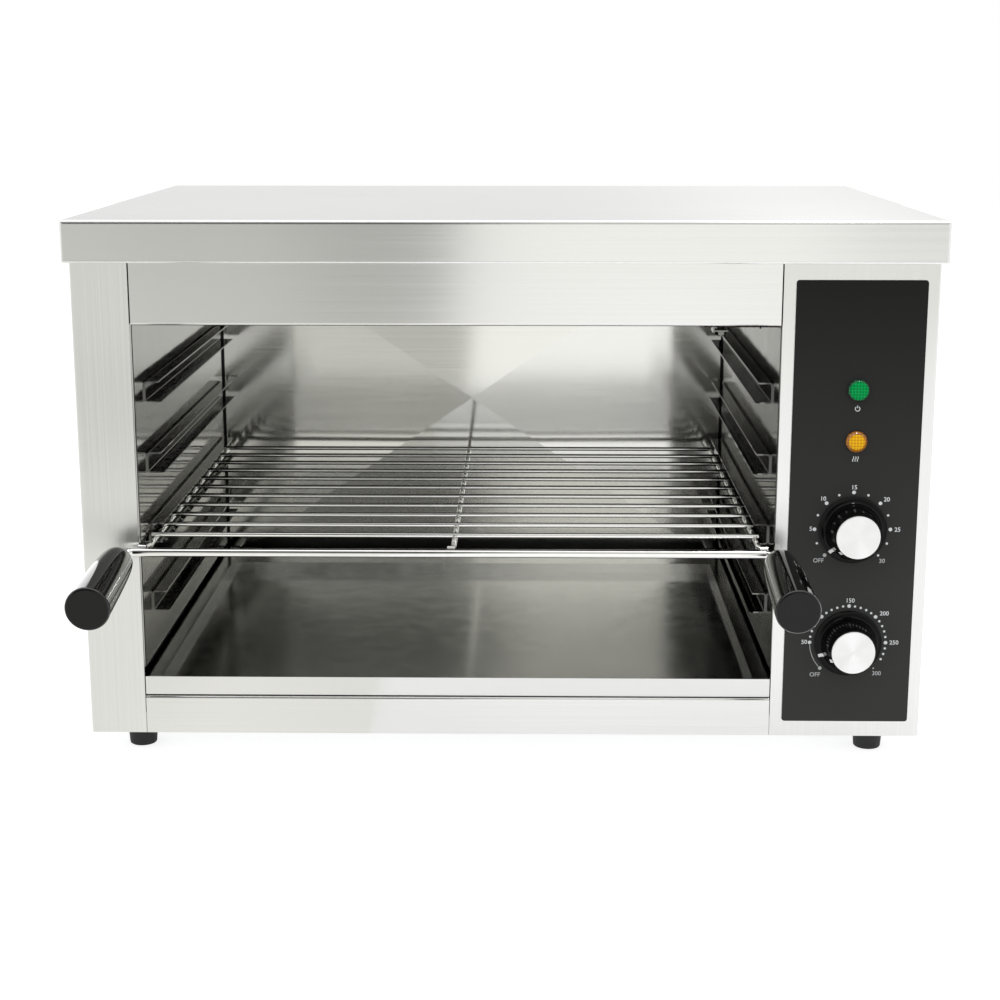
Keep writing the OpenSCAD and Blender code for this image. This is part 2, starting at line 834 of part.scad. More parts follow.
module control_plate() {
    w = control_w - 2 * plate_margin_x;
    h = plate_top - plate_z;
    color([0.2, 0.2, 0.2]) difference() {
        translate([control_x, front_y, (plate_z + plate_top) / 2]) rotate([90, 0, 0])
            linear_extrude(plate_t) rounded_plan(w, h, plate_r);
        control_holes(plate_y, plate_t);
    }
}

// Turns a profile, drawn as radius and height, about an axis that points out of the front
module turned_out(y, z) {
    translate([control_x, y, z]) rotate([90, 0, 0]) rotate_extrude() children();
}

// Domed lens on a rim that lies on the control plate
module lamp_lens(z) {
    rim = 1.4;
    dome_r = lens_r - 1;
    turned_out(plate_y, z) {
        square([lens_r, rim]);
        square([dome_r - 1.5, lens_h]);
        square([dome_r, lens_h - 1.5]);
        translate([dome_r - 1.5, lens_h - 1.5]) intersection() {
            circle(1.5);
            square(1.5);
        }
    }
}

// Neon holder: a barrel through the front, a spring ring behind it and two tags
module lamp_body(z) {
    barrel_l = 26;
    color("ghostwhite") {
        bar_y(control_x, plate_y, z, lamp_hole_r - hole_gap, barrel_l);
        difference() {
            bar_y(control_x, front_y + sheet, z, lens_r, 2);
            bar_y(control_x, front_y, z, lamp_hole_r - hole_gap, 4);
        }
        for (s = [-1, 1])
            translate([control_x + s * 2.5 - 0.4, plate_y + barrel_l, z - 2.4])
                cube([0.8, 8, 4.8]);
    }
}

module power_lamp_lens() {
    color([0.05, 0.6, 0.3]) lamp_lens(lamp_z[0]);
}

module power_lamp_body() {
    lamp_body(lamp_z[0]);
}

module heat_lamp_lens() {
    color([0.95, 0.6, 0.15]) lamp_lens(lamp_z[1]);
}

module heat_lamp_body() {
    lamp_body(lamp_z[1]);
}

// Holes for a control's shaft and its two fixing screws
module control_bores(y, z, depth) {
    bar_y(control_x, y, z, shaft_d / 2 + shaft_gap, depth);
    for (s = [-1, 1])
        bar_y(control_x + s * control_screw_x, y, z, control_screw_r + hole_gap, 8);
}

module timer_body() {
    w = 46;
    depth = 34;
    y = front_y + sheet;
    color("lightgoldenrodyellow") difference() {
        union() {
            translate([control_x - w / 2, y, timer_z - w / 2]) cube([w, 1.5, w]);
            translate([control_x - w / 2 + 3, y, timer_z - w / 2 + 3])
                cube([w - 6, depth, w - 6]);
            for (i = [-1 : 1])
                translate([control_x + i * 11 - 3, y + depth, timer_z - 12])
                    cube([6, 8, 0.8]);
        }
        control_bores(y - sheet, timer_z, 24);
    }
}

module thermostat_body() {
    depth = 26;
    y = front_y + sheet;
    color("whitesmoke") difference() {
        union() {
            bar_y(control_x, y, thermostat_z, 21, 8);
            translate([control_x - 17, y + 6, thermostat_z - 22]) cube([34, depth - 6, 44]);
            for (i = [-1, 1])
                translate([control_x + i * 9 - 3, y + depth, thermostat_z - 10])
                    cube([6, 8, 0.8]);
        }
        control_bores(y - sheet, thermostat_z, 20);
    }
}

// Round shaft with a flat near its outer end
module control_shaft(z, inner) {
    outer = knob_y - knob_h + 6;
    flat_l = knob_h - 8;
    color("silver") difference() {
        bar_y(control_x, outer, z, shaft_d / 2, front_y + inner - outer);
        translate([control_x - shaft_d, outer - 1, z + shaft_d / 2 - 1.5])
            cube([2 * shaft_d, flat_l + 1, shaft_d]);
    }
}

module timer_shaft() {
    control_shaft(timer_z, 22);
}

module thermostat_shaft() {
    control_shaft(thermostat_z, 18);
}

// Knob with a flared skirt, a tapered grip, a hub round the shaft and a shallow seat for its cap
module knob(z) {
    lip = 1.6;
    shell = 2.5;
    seat = 1;
    hub_r = shaft_d / 2 + 3;
    base_r = grip_r + 1.6;
    flare = knob_r - base_r - 0.5;
    face_r = cap_r + 0.6;
    difference() {
        turned_out(knob_y, z) difference() {
            union() {
                polygon([[0, 0], [knob_r, 0], [knob_r, lip - 0.4], [knob_r - 0.4, lip],
                    [0, lip]]);
                translate([0, lip]) difference() {
                    square([base_r + flare, flare]);
                    translate([base_r + flare, flare]) circle(flare);
                }
                polygon([[0, 0], [base_r, 0], [base_r, lip + flare],
                    [grip_r, knob_h - grip_edge], [face_r, knob_h - 0.3],
                    [face_r - 0.3, knob_h], [0, knob_h]]);
            }
            translate([hub_r, -1]) square([grip_r - shell - hub_r, knob_h - 5]);
            translate([0, -1]) square([knob_r - shell, lip]);
            translate([-1, knob_h - seat]) square([cap_r + 1, 2 * seat]);
        }
        difference() {
            bar_y(control_x, knob_y - knob_h + 6 - shaft_gap, z, shaft_d / 2 + shaft_gap, knob_h);
            translate([control_x - shaft_d, knob_y - knob_h, z + shaft_d / 2 - 1.5 + shaft_gap])
                cube([2 * shaft_d, knob_h - 2, shaft_d]);
        }
    }
}

module timer_knob() {
    color([0.08, 0.08, 0.08]) knob(timer_z);
}

module thermostat_knob() {
    color([0.08, 0.08, 0.08]) knob(thermostat_z);
}

// Spun aluminium disc on a knob's front
module knob_cap(z) {
    seat = 1;
    proud = 0.6;
    color("white") turned_out(knob_y - knob_h + seat, z) {
        square([cap_r - hole_gap, seat + proud / 2]);
        translate([0, seat + proud / 2]) square([cap_r - hole_gap - 0.4, proud / 2]);
    }
}

module timer_knob_cap() {
    knob_cap(timer_z);
}

module thermostat_knob_cap() {
    knob_cap(thermostat_z);
}

// The four screws that hold the timer and the thermostat, hidden under the knobs
module control_screws() {
    head_t = 1;
    color("silver") for (z = [timer_z, thermostat_z], s = [-1, 1]) {
        x = control_x + s * control_screw_x;
        bar_y(x, plate_y - head_t, z, control_screw_r + 1.3, head_t);
        bar_y(x, plate_y - head_t / 2, z, control_screw_r, plate_t + sheet + 6);
    }
}

// ---- Mains ----

// Three-pole block on two feet on the base plate
module terminal_block() {
    poles = 3;
    pole_w = 14;
    w = poles * pole_w;
    y = rear_y - terminal_inset;
    color("ivory") translate([control_x - w / 2, y, floor_z]) difference() {
        union() {
            translate([-6, 6, 0]) cube([w + 12, 10, 3]);
            cube([w, 22, 12]);
            for (i = [0 : poles - 1])
                translate([i * pole_w + 1, 4, 0]) cube([pole_w - 2, 14, 18]);
        }
        for (i = [0 : poles - 1])
            translate([(i + 0.5) * pole_w, 11, 8]) cylinder(r = 2.5, h = 12);
    }
}

// Gland through the back panel: threaded barrel, hexagon and tapered dome round one bore
module cable_gland() {
    barrel_l = 14;
    dome_r = gland_r + 1.5;
    length = gland_hex_t + gland_dome_l;
    color([0.12, 0.12, 0.12]) translate([control_x, rear_y - sheet, gland_z])
        rotate([-90, 0, 0]) difference() {
            union() {
                rotate_extrude() polygon([[0, -barrel_l], [gland_r, -barrel_l], [gland_r, 1],
                    [dome_r, 1], [dome_r, gland_hex_t], [gland_bore_d / 2 + 2, length],
                    [0, length]]);
                cylinder(d = 2 * (gland_r + 2) / cos(30), h = gland_hex_t, $fn = 6);
            }
            translate([0, 0, -barrel_l - 1]) cylinder(d = gland_bore_d, h = barrel_l + length + 2);
        }
}

module gland_nut() {
    nut_t = 5;
    y = rear_y - 2 * sheet - nut_t;
    color([0.12, 0.12, 0.12]) difference() {
        hex_y(control_x, y, gland_z, 26, nut_t);
        bar_y(control_x, y - 1, gland_z, gland_r + shaft_gap, nut_t + 2);
    }
}

// Stud for the bonding wire, with a nut on each side of the back panel
module earth_stud() {
    nut_t = 4;
    color("goldenrod") {
        bar_y(stud_x, rear_y - 14, gland_z, stud_d / 2, 28);
        hex_y(stud_x, rear_y - 2 * sheet - nut_t, gland_z, stud_d + 4, nut_t);
        hex_y(stud_x, rear_y - sheet, gland_z, stud_d + 4, nut_t);
        bar_y(stud_x, rear_y - sheet + nut_t + 1.5, gland_z, stud_d / 2 + 3.5, 1.2);
        hex_y(stud_x, rear_y - sheet + nut_t + 2.7, gland_z, stud_d + 4, nut_t);
    }
}

// ---- Rack ----

// Right half of the front rod, from its middle to the end inside the handle
module rod_half() {
    straight = handle_half - rod_bend_r;
    leg_l = handle_start + handle_seat - rod_bend_r - 1;
    rotate([handle_droop, 0, 0]) {
        bar_x(0, 0, 0, rod_d / 2, straight);
        translate([straight, -rod_bend_r, 0]) rotate_extrude(angle = 90)
            translate([rod_bend_r, 0]) circle(d = rod_d);
        bar_y(handle_half, -rod_bend_r - leg_l, 0, rod_d / 2, leg_l);
    }
}

module rack_front_rod() {
    color("gainsboro") translate([rod_x, rod_y, rod_z]) {
        rod_half();
        mirror([1, 0, 0]) rod_half();
    }
}

// A wire that rises at its front to a foot, bent towards +X, that leans on the front rod. The
// bend draws the rising part a hair thinner and flattens the foot a hair wider.
module long_wire() {
    r = long_wire_d / 2;
    foot_r = r + 0.1;
    rise_r = r - 0.05;
    reach = (rod_d + long_wire_d) / 2 - hole_gap;
    foot_y = rod_y + reach * cos(30);
    foot_z = rod_z + reach * sin(30);
    slope_l = (foot_z - long_wire_z) / sin(wire_slope);
    knee_y = foot_y + slope_l * cos(wire_slope);
    overlap = r * tan(wire_slope / 2);
    translate([0, foot_y, foot_z]) rotate([-wire_slope, 0, 0]) {
        bar_x(-foot_r, 0, 0, foot_r, foot_r + wire_foot);
        bar_y(0, 0, 0, rise_r, slope_l + overlap);
    }
    bar_y(0, knee_y - overlap, long_wire_z, r, rack_rear - knee_y + overlap);
}

// Three wires under the cross wires, the outer two with their feet turned outwards
module rack_long_wires() {
    side = rack_half - wire_overrun;
    color("gainsboro") difference() {
        union() {
            for (x = [-side, 0]) translate([rack_x + x, 0, 0]) mirror([1, 0, 0]) long_wire();
            translate([rack_x + side, 0, 0]) long_wire();
        }
        bar_x(rack_x - rack_half, rod_y, rod_z, rod_d / 2, 2 * rack_half);
    }
}

module rack_cross_wires() {
    color("gainsboro") for (i = [0 : wire_count - 1])
        bar_x(rack_x - rack_half, front_y + first_wire + i * wire_pitch, cross_wire_z,
            cross_wire_d / 2, 2 * rack_half);
}

// Tapered handle on one drooping end of the front rod. Its profile is radius over length.
module rack_handle(side) {
    steps = 18;
    edge = handle_edge_r;
    side_points = [for (i = [0 : steps]) let(s = pow(i / steps, 2))
        [handle_r(s), s * (handle_len - edge)]];
    edge_points = [for (a = [15 : 15 : 90])
        [handle_front_r - edge + edge * cos(a), handle_len - edge + edge * sin(a)]];
    color([0.08, 0.08, 0.08]) translate([rod_x + side * handle_half, rod_y, rod_z])
        rotate([90 + handle_droop, 0, 0]) translate([0, 0, handle_start]) difference() {
            rotate_extrude() polygon(concat([[0, 0]], side_points, edge_points,
                [[0, handle_len]]));
            translate([0, 0, -1]) cylinder(r = rod_d / 2 + shaft_gap, h = handle_seat + 1);
        }
}

module left_handle() {
    rack_handle(-1);
}

module right_handle() {
    rack_handle(1);
}

// ---- Crumb tray ----

module crumb_tray() {
    pan_l = tray_l + tray_flange - sheet;
    pan_w = tray_r - tray_l - 2 * (tray_flange - sheet);
    pan_d = tray_len - tray_rear_flange + sheet;
    pan_z = tray_rim_z - tray_depth - sheet;
    lip_hem = 5;
    color("silver") {
        difference() {
            translate([pan_l, front_y, pan_z]) cube([pan_w, pan_d, tray_depth + sheet]);
            translate([pan_l + sheet, front_y + sheet, pan_z + sheet])
                cube([pan_w - 2 * sheet, pan_d - 2 * sheet, tray_depth + sheet]);
        }
        for (x = [tray_l, tray_r - tray_flange])
            translate([x, front_y, tray_rim_z - sheet]) cube([tray_flange, tray_len, sheet]);
        translate([tray_l, front_y + tray_len - tray_rear_flange, tray_rim_z - sheet])
            cube([tray_r - tray_l, tray_rear_flange, sheet]);
        along_x(tray_l, tray_r - tray_l) folded([
            [front_y, tray_rim_z - sheet],
            [front_y, tray_bottom],
            [front_y + lip_hem, tray_bottom]
        ]);
    }
}

// ---- Feet and fasteners ----

// Rubber foot with a round-edged sole, a bolt hole and a seat for the bolt's head
module rubber_foot(sx, front) {
    edge = 1.5;
    y = front ? front_y + foot_inset_y : rear_y - foot_inset_y;
    color([0.1, 0.1, 0.1]) translate([sx * (half_w - foot_inset_x), y, 0]) difference() {
        rotate_extrude() {
            polygon([[0, 0], [foot_sole_r - edge, 0], [foot_sole_r, edge],
                [foot_top_r, foot_h], [0, foot_h]]);
            translate([foot_sole_r - edge, edge]) circle(edge);
        }
        translate([0, 0, -1]) cylinder(r = 5, h = 9);
        cylinder(r = foot_bolt_r + hole_gap, h = foot_h + 1);
    }
}

module foot_bolts() {
    head_h = 3;
    seat_z = 8;
    nut_t = 4;
    color("silver") at_feet() {
        translate([0, 0, seat_z - head_h]) cylinder(r = 4.5, h = head_h);
        translate([0, 0, seat_z - head_h / 2])
            cylinder(r = foot_bolt_r, h = floor_z + nut_t + 2 - seat_z);
        translate([0, 0, floor_z]) cylinder(d = 8 / cos(30), h = nut_t, $fn = 6);
    }
}

// Low-headed screw driven along -Y into the rear, its head seated at y
module rear_screw(x, y, z, length) {
    head_r = 3.6;
    head_h = 1.8;
    bar_y(x, y - length, z, screw_r, length + head_h / 2);
    bar_y(x, y, z, head_r, head_h / 2);
    bar_y(x, y, z, head_r - 0.8, head_h);
}

module casing_screws() {
    color("silver") {
        for (s = [-1, 1]) {
            for (z = rear_screw_z) rear_screw(s * rear_screw_x, rear_y, z, 8);
            rear_screw(s * lid_screw_x, rear_y + lid_overhang, lid_screw_z, lid_overhang + 8);
        }
    }
}

top_cover();
left_side_panel();
control_housing();
back_panel();
base_plate();
upper_fascia();
lower_fascia();
cavity_left_wall();
cavity_right_wall();
cavity_back_wall();
cavity_ceiling();
left_runner(1);  // left_runner_1
left_runner(2);  // left_runner_2
left_runner(3);  // left_runner_3
left_runner(4);  // left_runner_4
right_runner(1);  // right_runner_1
right_runner(2);  // right_runner_2
right_runner(3);  // right_runner_3
right_runner(4);  // right_runner_4
left_tray_runner();
right_tray_runner();
front_element();
rear_element();
left_element_bracket();
right_element_bracket();
thermostat_bulb();
bulb_clip();
capillary_tube();
control_plate();
power_lamp_lens();
power_lamp_body();
heat_lamp_lens();
heat_lamp_body();
timer_body();
timer_shaft();
timer_knob();
timer_knob_cap();
thermostat_body();
thermostat_shaft();
thermostat_knob();
thermostat_knob_cap();
control_screws();
terminal_block();
cable_gland();
gland_nut();
earth_stud();
rack_front_rod();
rack_long_wires();
rack_cross_wires();
left_handle();
right_handle();
crumb_tray();
rubber_foot(-1, true);  // front_left_foot
rubber_foot(1, true);  // front_right_foot
rubber_foot(-1, false);  // rear_left_foot
rubber_foot(1, false);  // rear_right_foot
foot_bolts();
casing_screws();
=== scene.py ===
"""Looks of a counter-top cheese melter, built round its packed construction.

Run as a script: it loads the construction, gives every piece its finish, models the small
pieces that the construction leaves plain, and sets the stage. Lengths are metres, the front
faces -Y and the floor is Z = 0.
"""

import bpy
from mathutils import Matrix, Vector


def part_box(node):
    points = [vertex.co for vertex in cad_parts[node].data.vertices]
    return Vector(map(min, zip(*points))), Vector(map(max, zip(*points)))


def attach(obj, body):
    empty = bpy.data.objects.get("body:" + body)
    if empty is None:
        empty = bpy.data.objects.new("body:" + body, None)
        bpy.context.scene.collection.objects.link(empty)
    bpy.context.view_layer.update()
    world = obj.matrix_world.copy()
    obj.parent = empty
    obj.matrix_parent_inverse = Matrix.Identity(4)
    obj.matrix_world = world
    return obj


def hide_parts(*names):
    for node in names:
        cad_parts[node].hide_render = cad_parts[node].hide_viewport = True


bl_info = {
    "name": "Cheese melter looks",
    "version": (1, 0, 0),
    "blender": (4, 5, 0),
    "location": "View3D > Sidebar > Melter",
    "description": "Finishes, dials, lamps and small fittings of a counter-top cheese melter",
    "category": "Object",
}

import math

import bpy
from bpy.props import FloatProperty, FloatVectorProperty, PointerProperty
from mathutils import Vector

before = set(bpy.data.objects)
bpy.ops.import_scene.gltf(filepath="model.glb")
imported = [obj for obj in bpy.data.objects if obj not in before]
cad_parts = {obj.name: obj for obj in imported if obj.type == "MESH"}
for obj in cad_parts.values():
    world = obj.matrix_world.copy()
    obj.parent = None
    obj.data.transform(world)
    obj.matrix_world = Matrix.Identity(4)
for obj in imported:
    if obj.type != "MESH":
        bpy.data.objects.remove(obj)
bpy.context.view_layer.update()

MM = 0.001
FRONT = Vector((0, -1, 0))


# ---- Sizes and colours that a user would change ----

def colour_property(name, description, default):
    return FloatVectorProperty(
        name=name, description=description, default=default,
        subtype="COLOR", size=3, min=0.0, max=1.0)


def length_property(name, description, default):
    return FloatProperty(
        name=name, description=description, default=default * MM,
        unit="LENGTH", min=0.0, precision=5)


class MelterColours(bpy.types.PropertyGroup):
    """Colours of the melter's finishes"""
    sheet: colour_property("Casing steel", "Brushed sheet of the casing", (0.84, 0.84, 0.83))
    cavity: colour_property("Cavity steel", "Bright back wall of the cavity", (0.82, 0.82, 0.785))
    # Side walls and runner steel are the cavity steel painted darker, as shade.
    side: colour_property("Side walls", "Bright sheet beside the rack", (0.42, 0.42, 0.40))
    runner: colour_property("Runner steel", "Sheet of the runners", (0.20, 0.20, 0.19))
    # The tray's colour is painted darker than its lip's casing colour, as shade.
    tray: colour_property("Tray steel", "Sheet of the crumb tray", (0.68, 0.68, 0.66))
    chrome: colour_property("Chrome", "Plating of the rack", (0.94, 0.94, 0.92))
    bakelite: colour_property("Bakelite", "Handles and knobs", (0.004, 0.004, 0.004))
    overlay: colour_property("Control plate", "Dark film on the controls", (0.038, 0.038, 0.037))
    ink: colour_property("Ink", "Numbers and dots of the dials", (0.82, 0.86, 0.86))
    power: colour_property("Power lamp", "Green lens", (0.0, 0.27, 0.06))
    heat: colour_property("Heat lamp", "Amber lens", (0.80, 0.36, 0.01))


class MelterDials(bpy.types.PropertyGroup):
    """Sizes of the dials' printed marks"""
    timer_ring: length_property("Timer ring", "From the shaft to the timer's dots", 26.3)
    heat_ring: length_property("Thermostat ring", "From the shaft to its dots", 26.7)
    big_dot: length_property("Big dot", "Radius of a dot that has a number", 1.3)
    small_dot: length_property("Small dot", "Radius of a dot between two numbers", 0.85)
    number: length_property("Number size", "Type size of the numbers", 4.3)
    ink: length_property("Ink thickness", "How far the ink stands on the plate", 0.06)
    line: length_property("Line width", "Width of the thin lines", 0.45)
    weight: length_property("Number weight", "How far the numbers' strokes swell", 0.05)


class MelterStage(bpy.types.PropertyGroup):
    """Camera and light of the stage"""
    lens: FloatProperty(name="Lens", description="Focal length on a 36 mm sensor",
                        default=66.58, min=10.0, subtype="DISTANCE_CAMERA")
    ceiling: FloatProperty(name="Overhead light", description="Power of the overhead lamp",
                           default=2.5, min=0.0, unit="POWER")
    glint: FloatProperty(name="Glint", description="Power of the small lamp for glints",
                         default=7.0, min=0.0, unit="POWER")
    rim: FloatProperty(name="Rim light", description="Power of the lamp behind the left side",
                       default=1.6, min=0.0, unit="POWER")
    ambient: FloatProperty(name="Ambient", description="Level of light from all round",
                           default=0.95, min=0.0)
    card: FloatProperty(name="Grey card", description="Tone of the card that the steel mirrors",
                        default=0.71, min=0.0)


# ---- Places taken from the construction ----

def low(node):
    return Vector(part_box(node)[0])


def high(node):
    return Vector(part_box(node)[1])


def middle(node):
    return (low(node) + high(node)) / 2


PLATE_FRONT = low("control_plate").y


def on_plate(node):
    """The point of the dark plate's front that a node's middle lies behind or before."""
    centre = middle(node)
    return Vector((centre.x, PLATE_FRONT, centre.z))


# ---- Modelling, as by hand ----

def deselect():
    bpy.ops.object.select_all(action="DESELECT")


def named(name):
    """Names the piece that was just added, which is the active one."""
    piece = bpy.context.object
    piece.name = name
    piece.data.name = name
    return piece


def select_only(*pieces):
    """Selects these pieces alone, the first of them as the active one."""
    deselect()
    for piece in pieces:
        piece.select_set(True)
    bpy.context.view_layer.objects.active = pieces[0]


def settle(piece):
    """Moves the piece's place, turn and scale into its mesh."""
    select_only(piece)
    bpy.ops.object.transform_apply(location=True, rotation=True, scale=True)
    return piece


def edit(piece):
    """Enters edit mode with all the piece's faces selected."""
    select_only(piece)
    bpy.ops.object.mode_set(mode="EDIT")
    bpy.ops.mesh.select_mode(type="FACE")
    bpy.ops.mesh.select_all(action="SELECT")


def close_up():
    """Merges doubles, turns the normals outward and leaves edit mode."""
    bpy.ops.mesh.select_all(action="SELECT")
    bpy.ops.mesh.remove_doubles(threshold=1e-6)
    bpy.ops.mesh.normals_make_consistent(inside=False)
    bpy.ops.object.mode_set(mode="OBJECT")


def smooth(piece, degrees=35):
    """Shades the piece smooth, apart from edges sharper than the angle."""
    select_only(piece)
    bpy.ops.object.shade_smooth_by_angle(angle=math.radians(degrees))
    return piece


def merged(name, pieces):
    """Joins like pieces into one and settles it."""
    select_only(*pieces)
    bpy.ops.object.join()
    return settle(named(name))


def turned(name, centre, stations, sides=48):
    """Turns a closed piece as on a lathe, its axis towards the front. Stations are (distance
    along the axis, radius); the last end face is drawn out to each in turn."""
    deselect()
    start, radius = stations[0]
    bpy.ops.mesh.primitive_circle_add(
        vertices=sides, radius=radius, fill_type="NGON", rotation=(math.pi / 2, 0, 0),
        location=Vector(centre) + FRONT * start)
    piece = settle(named(name))
    edit(piece)
    for reach, next_radius in stations[1:]:
        bpy.ops.mesh.extrude_region_move(
            TRANSFORM_OT_translate={"value": FRONT * (reach - start)})
        factor = next_radius / radius
        bpy.ops.transform.resize(
            value=(factor, 1, factor), center_override=Vector(centre) + FRONT * reach)
        start, radius = reach, next_radius
    close_up()
    return piece


def polar(centre, degrees, radius):
    """A point round a centre on the plate, clockwise from the top as seen from the front."""
    angle = math.radians(degrees)
    return Vector((centre.x + radius * math.sin(angle), centre.y,
                   centre.z + radius * math.cos(angle)))


# ---- Finishes ----

class Finish:
    """A node material for one of the melter's finishes. Constants go straight on the shader."""

    def __init__(self, name, **sockets):
        self.material = bpy.data.materials.new(name)
        self.material.use_nodes = True
        self.tree = self.material.node_tree
        self.shader = self.tree.nodes["Principled BSDF"]
        for socket, value in sockets.items():
            self.shader.inputs[socket.replace("_", " ")].default_value = value
        self.place = self.node("ShaderNodeTexCoord").outputs["Object"]

    def node(self, kind, **settings):
        made = self.tree.nodes.new(kind)
        for setting, value in settings.items():
            setattr(made, setting, value)
        return made

    def feed(self, made, **inputs):
        """Fills sockets by name, or by number as i0, i1 and so on."""
        for socket, value in inputs.items():
            numbered = socket[0] == "i" and socket[1:].isdigit()
            target = made.inputs[int(socket[1:]) if numbered else socket.replace("_", " ")]
            if isinstance(value, bpy.types.NodeSocket):
                self.tree.links.new(value, target)
            else:
                target.default_value = value
        return made

    def maths(self, operation, first, second=0.0):
        made = self.node("ShaderNodeMath", operation=operation)
        return self.feed(made, i0=first, i1=second).outputs[0]

    def vector(self, operation, first, second=(0, 0, 0)):
        made = self.node("ShaderNodeVectorMath", operation=operation)
        return self.feed(made, i0=first, i1=second).outputs[0]

    def parts(self, vector=None):
        made = self.node("ShaderNodeSeparateXYZ")
        return self.feed(made, Vector=vector or self.place).outputs

    def joined(self, **parts):
        return self.feed(self.node("ShaderNodeCombineXYZ"), **parts).outputs[0]

    def stretched(self, *scale):
        """Object coordinates, scaled per axis in repeats per metre."""
        return self.vector("MULTIPLY", self.place, scale)

    def noise(self, vector, detail=2.0, rough=0.5):
        made = self.node("ShaderNodeTexNoise")
        self.feed(made, Vector=vector, Scale=1.0, Detail=detail, Roughness=rough)
        return made.outputs[0]

    def cells(self, size):
        """Irregular cells, as repeats per metre."""
        made = self.node("ShaderNodeTexVoronoi")
        return self.feed(made, Vector=self.stretched(size, size, size), Scale=1.0).outputs

    def ranged(self, value, low_in, high_in, low_out, high_out):
        made = self.node("ShaderNodeMapRange")
        self.feed(made, Value=value, i1=low_in, i2=high_in, i3=low_out, i4=high_out)
        return made.outputs[0]

    def blended(self, factor, first, second):
        """A colour between two colours."""
        made = self.node("ShaderNodeMix", data_type="RGBA")
        self.feed(made, i0=factor, i6=first, i7=second)
        return made.outputs[2]

    def ramp(self, value, low_in, high_in, *stops):
        """Levels along a range: each stop is (place in the range, level)."""
        made = self.node("ShaderNodeValToRGB")
        marks = made.color_ramp.elements
        for mark, (place, level) in zip(marks, stops[:1] + stops[-1:]):
            mark.position = (place - low_in) / (high_in - low_in)
            mark.color = (level, level, level, 1)
        for place, level in stops[1:-1]:
            marks.new((place - low_in) / (high_in - low_in)).color = (level, level, level, 1)
        return self.feed(made, Fac=self.ranged(value, low_in, high_in, 0, 1)).outputs[0]

    def bump(self, height, distance):
        made = self.node("ShaderNodeBump")
        return self.feed(made, Height=height, Distance=distance, Strength=1.0).outputs[0]

    def into(self, **sockets):
        self.feed(self.shader, **sockets)
        return self.material


def shade(colour, factor):
    return tuple(min(1.0, c * factor) for c in colour) + (1.0,)


def brushed_sheet(name, colour, grain, rough=(0.17, 0.21), cloud=0.035, glance=0.85):
    """Brushed sheet. Reflections stay crisp along the grain and spread across it. Glance is
    how much it mirrors where it is seen edge on."""
    finish = Finish(name, Metallic=1.0, Anisotropic=0.9, Specular_Tint=(glance,) * 3 + (1,))
    streak_scale = [700.0, 700.0, 700.0]
    streak_scale["XYZ".index(grain)] = 4.0
    streak = finish.noise(finish.stretched(*streak_scale), detail=3.0)
    clouds = finish.noise(finish.stretched(4, 4, 4))
    grain_axis = tuple(float(letter == grain) for letter in "XYZ")
    facing = finish.node("ShaderNodeNewGeometry").outputs["True Normal"]
    across = finish.vector("CROSS_PRODUCT", facing, grain_axis)
    tone = finish.maths("MULTIPLY", finish.maths("ADD", clouds, streak), 0.5)
    return finish.into(
        Base_Color=finish.blended(finish.ranged(tone, 0.35, 0.65, 0, 1),
                                  shade(colour, 1 - cloud), shade(colour, 1 + cloud)),
        Roughness=finish.ranged(streak, 0.3, 0.7, *rough),
        Normal=finish.bump(streak, 0.000002),
        Tangent=finish.vector("ADD", across, (0.002, 0.001, 0.003)))


def corner_shaded(material, left, right, width):
    """Paints shade along a sheet's two upright edges, in the corners where it butts against its
    neighbours.
    """
    tree = material.node_tree
    shader = tree.nodes["Principled BSDF"]
    colour = shader.inputs["Base Color"].links[0].from_socket
    place = tree.nodes.new("ShaderNodeTexCoord")
    across = tree.nodes.new("ShaderNodeSeparateXYZ")
    tree.links.new(place.outputs["Object"], across.inputs[0])
    corner_shade_mask = tree.nodes.new("ShaderNodeMath")
    corner_shade_mask.operation = "COMPARE"
    tree.links.new(across.outputs[0], corner_shade_mask.inputs[0])
    corner_shade_mask.inputs[1].default_value = (left + right) / 2
    corner_shade_mask.inputs[2].default_value = (right - left) / 2 - width
    mix = tree.nodes.new("ShaderNodeMix")
    mix.data_type = "RGBA"
    tree.links.new(corner_shade_mask.outputs[0], mix.inputs[0])
    # Painted shade: near black in the two corners.
    mix.inputs[6].default_value = (0.03, 0.03, 0.03, 1)
    tree.links.new(colour, mix.inputs[7])
    tree.links.new(mix.outputs[2], shader.inputs["Base Color"])
    return material


def bright_sheet(name, colour, rough=(0.07, 0.12), waves=0.0003, glance=1.0):
    """Bright rolled sheet: nearly a mirror, with slow waves from its folding."""
    finish = Finish(name, Metallic=1.0, Specular_Tint=(glance,) * 3 + (1,))
    slow = finish.noise(finish.stretched(14, 14, 14))
    haze = finish.noise(finish.stretched(60, 60, 60), detail=3.0)
    return finish.into(
        Base_Color=finish.blended(haze, shade(colour, 0.92), shade(colour, 1.08)),
        Roughness=finish.ranged(haze, 0.3, 0.7, *rough),
        Normal=finish.bump(slow, waves))


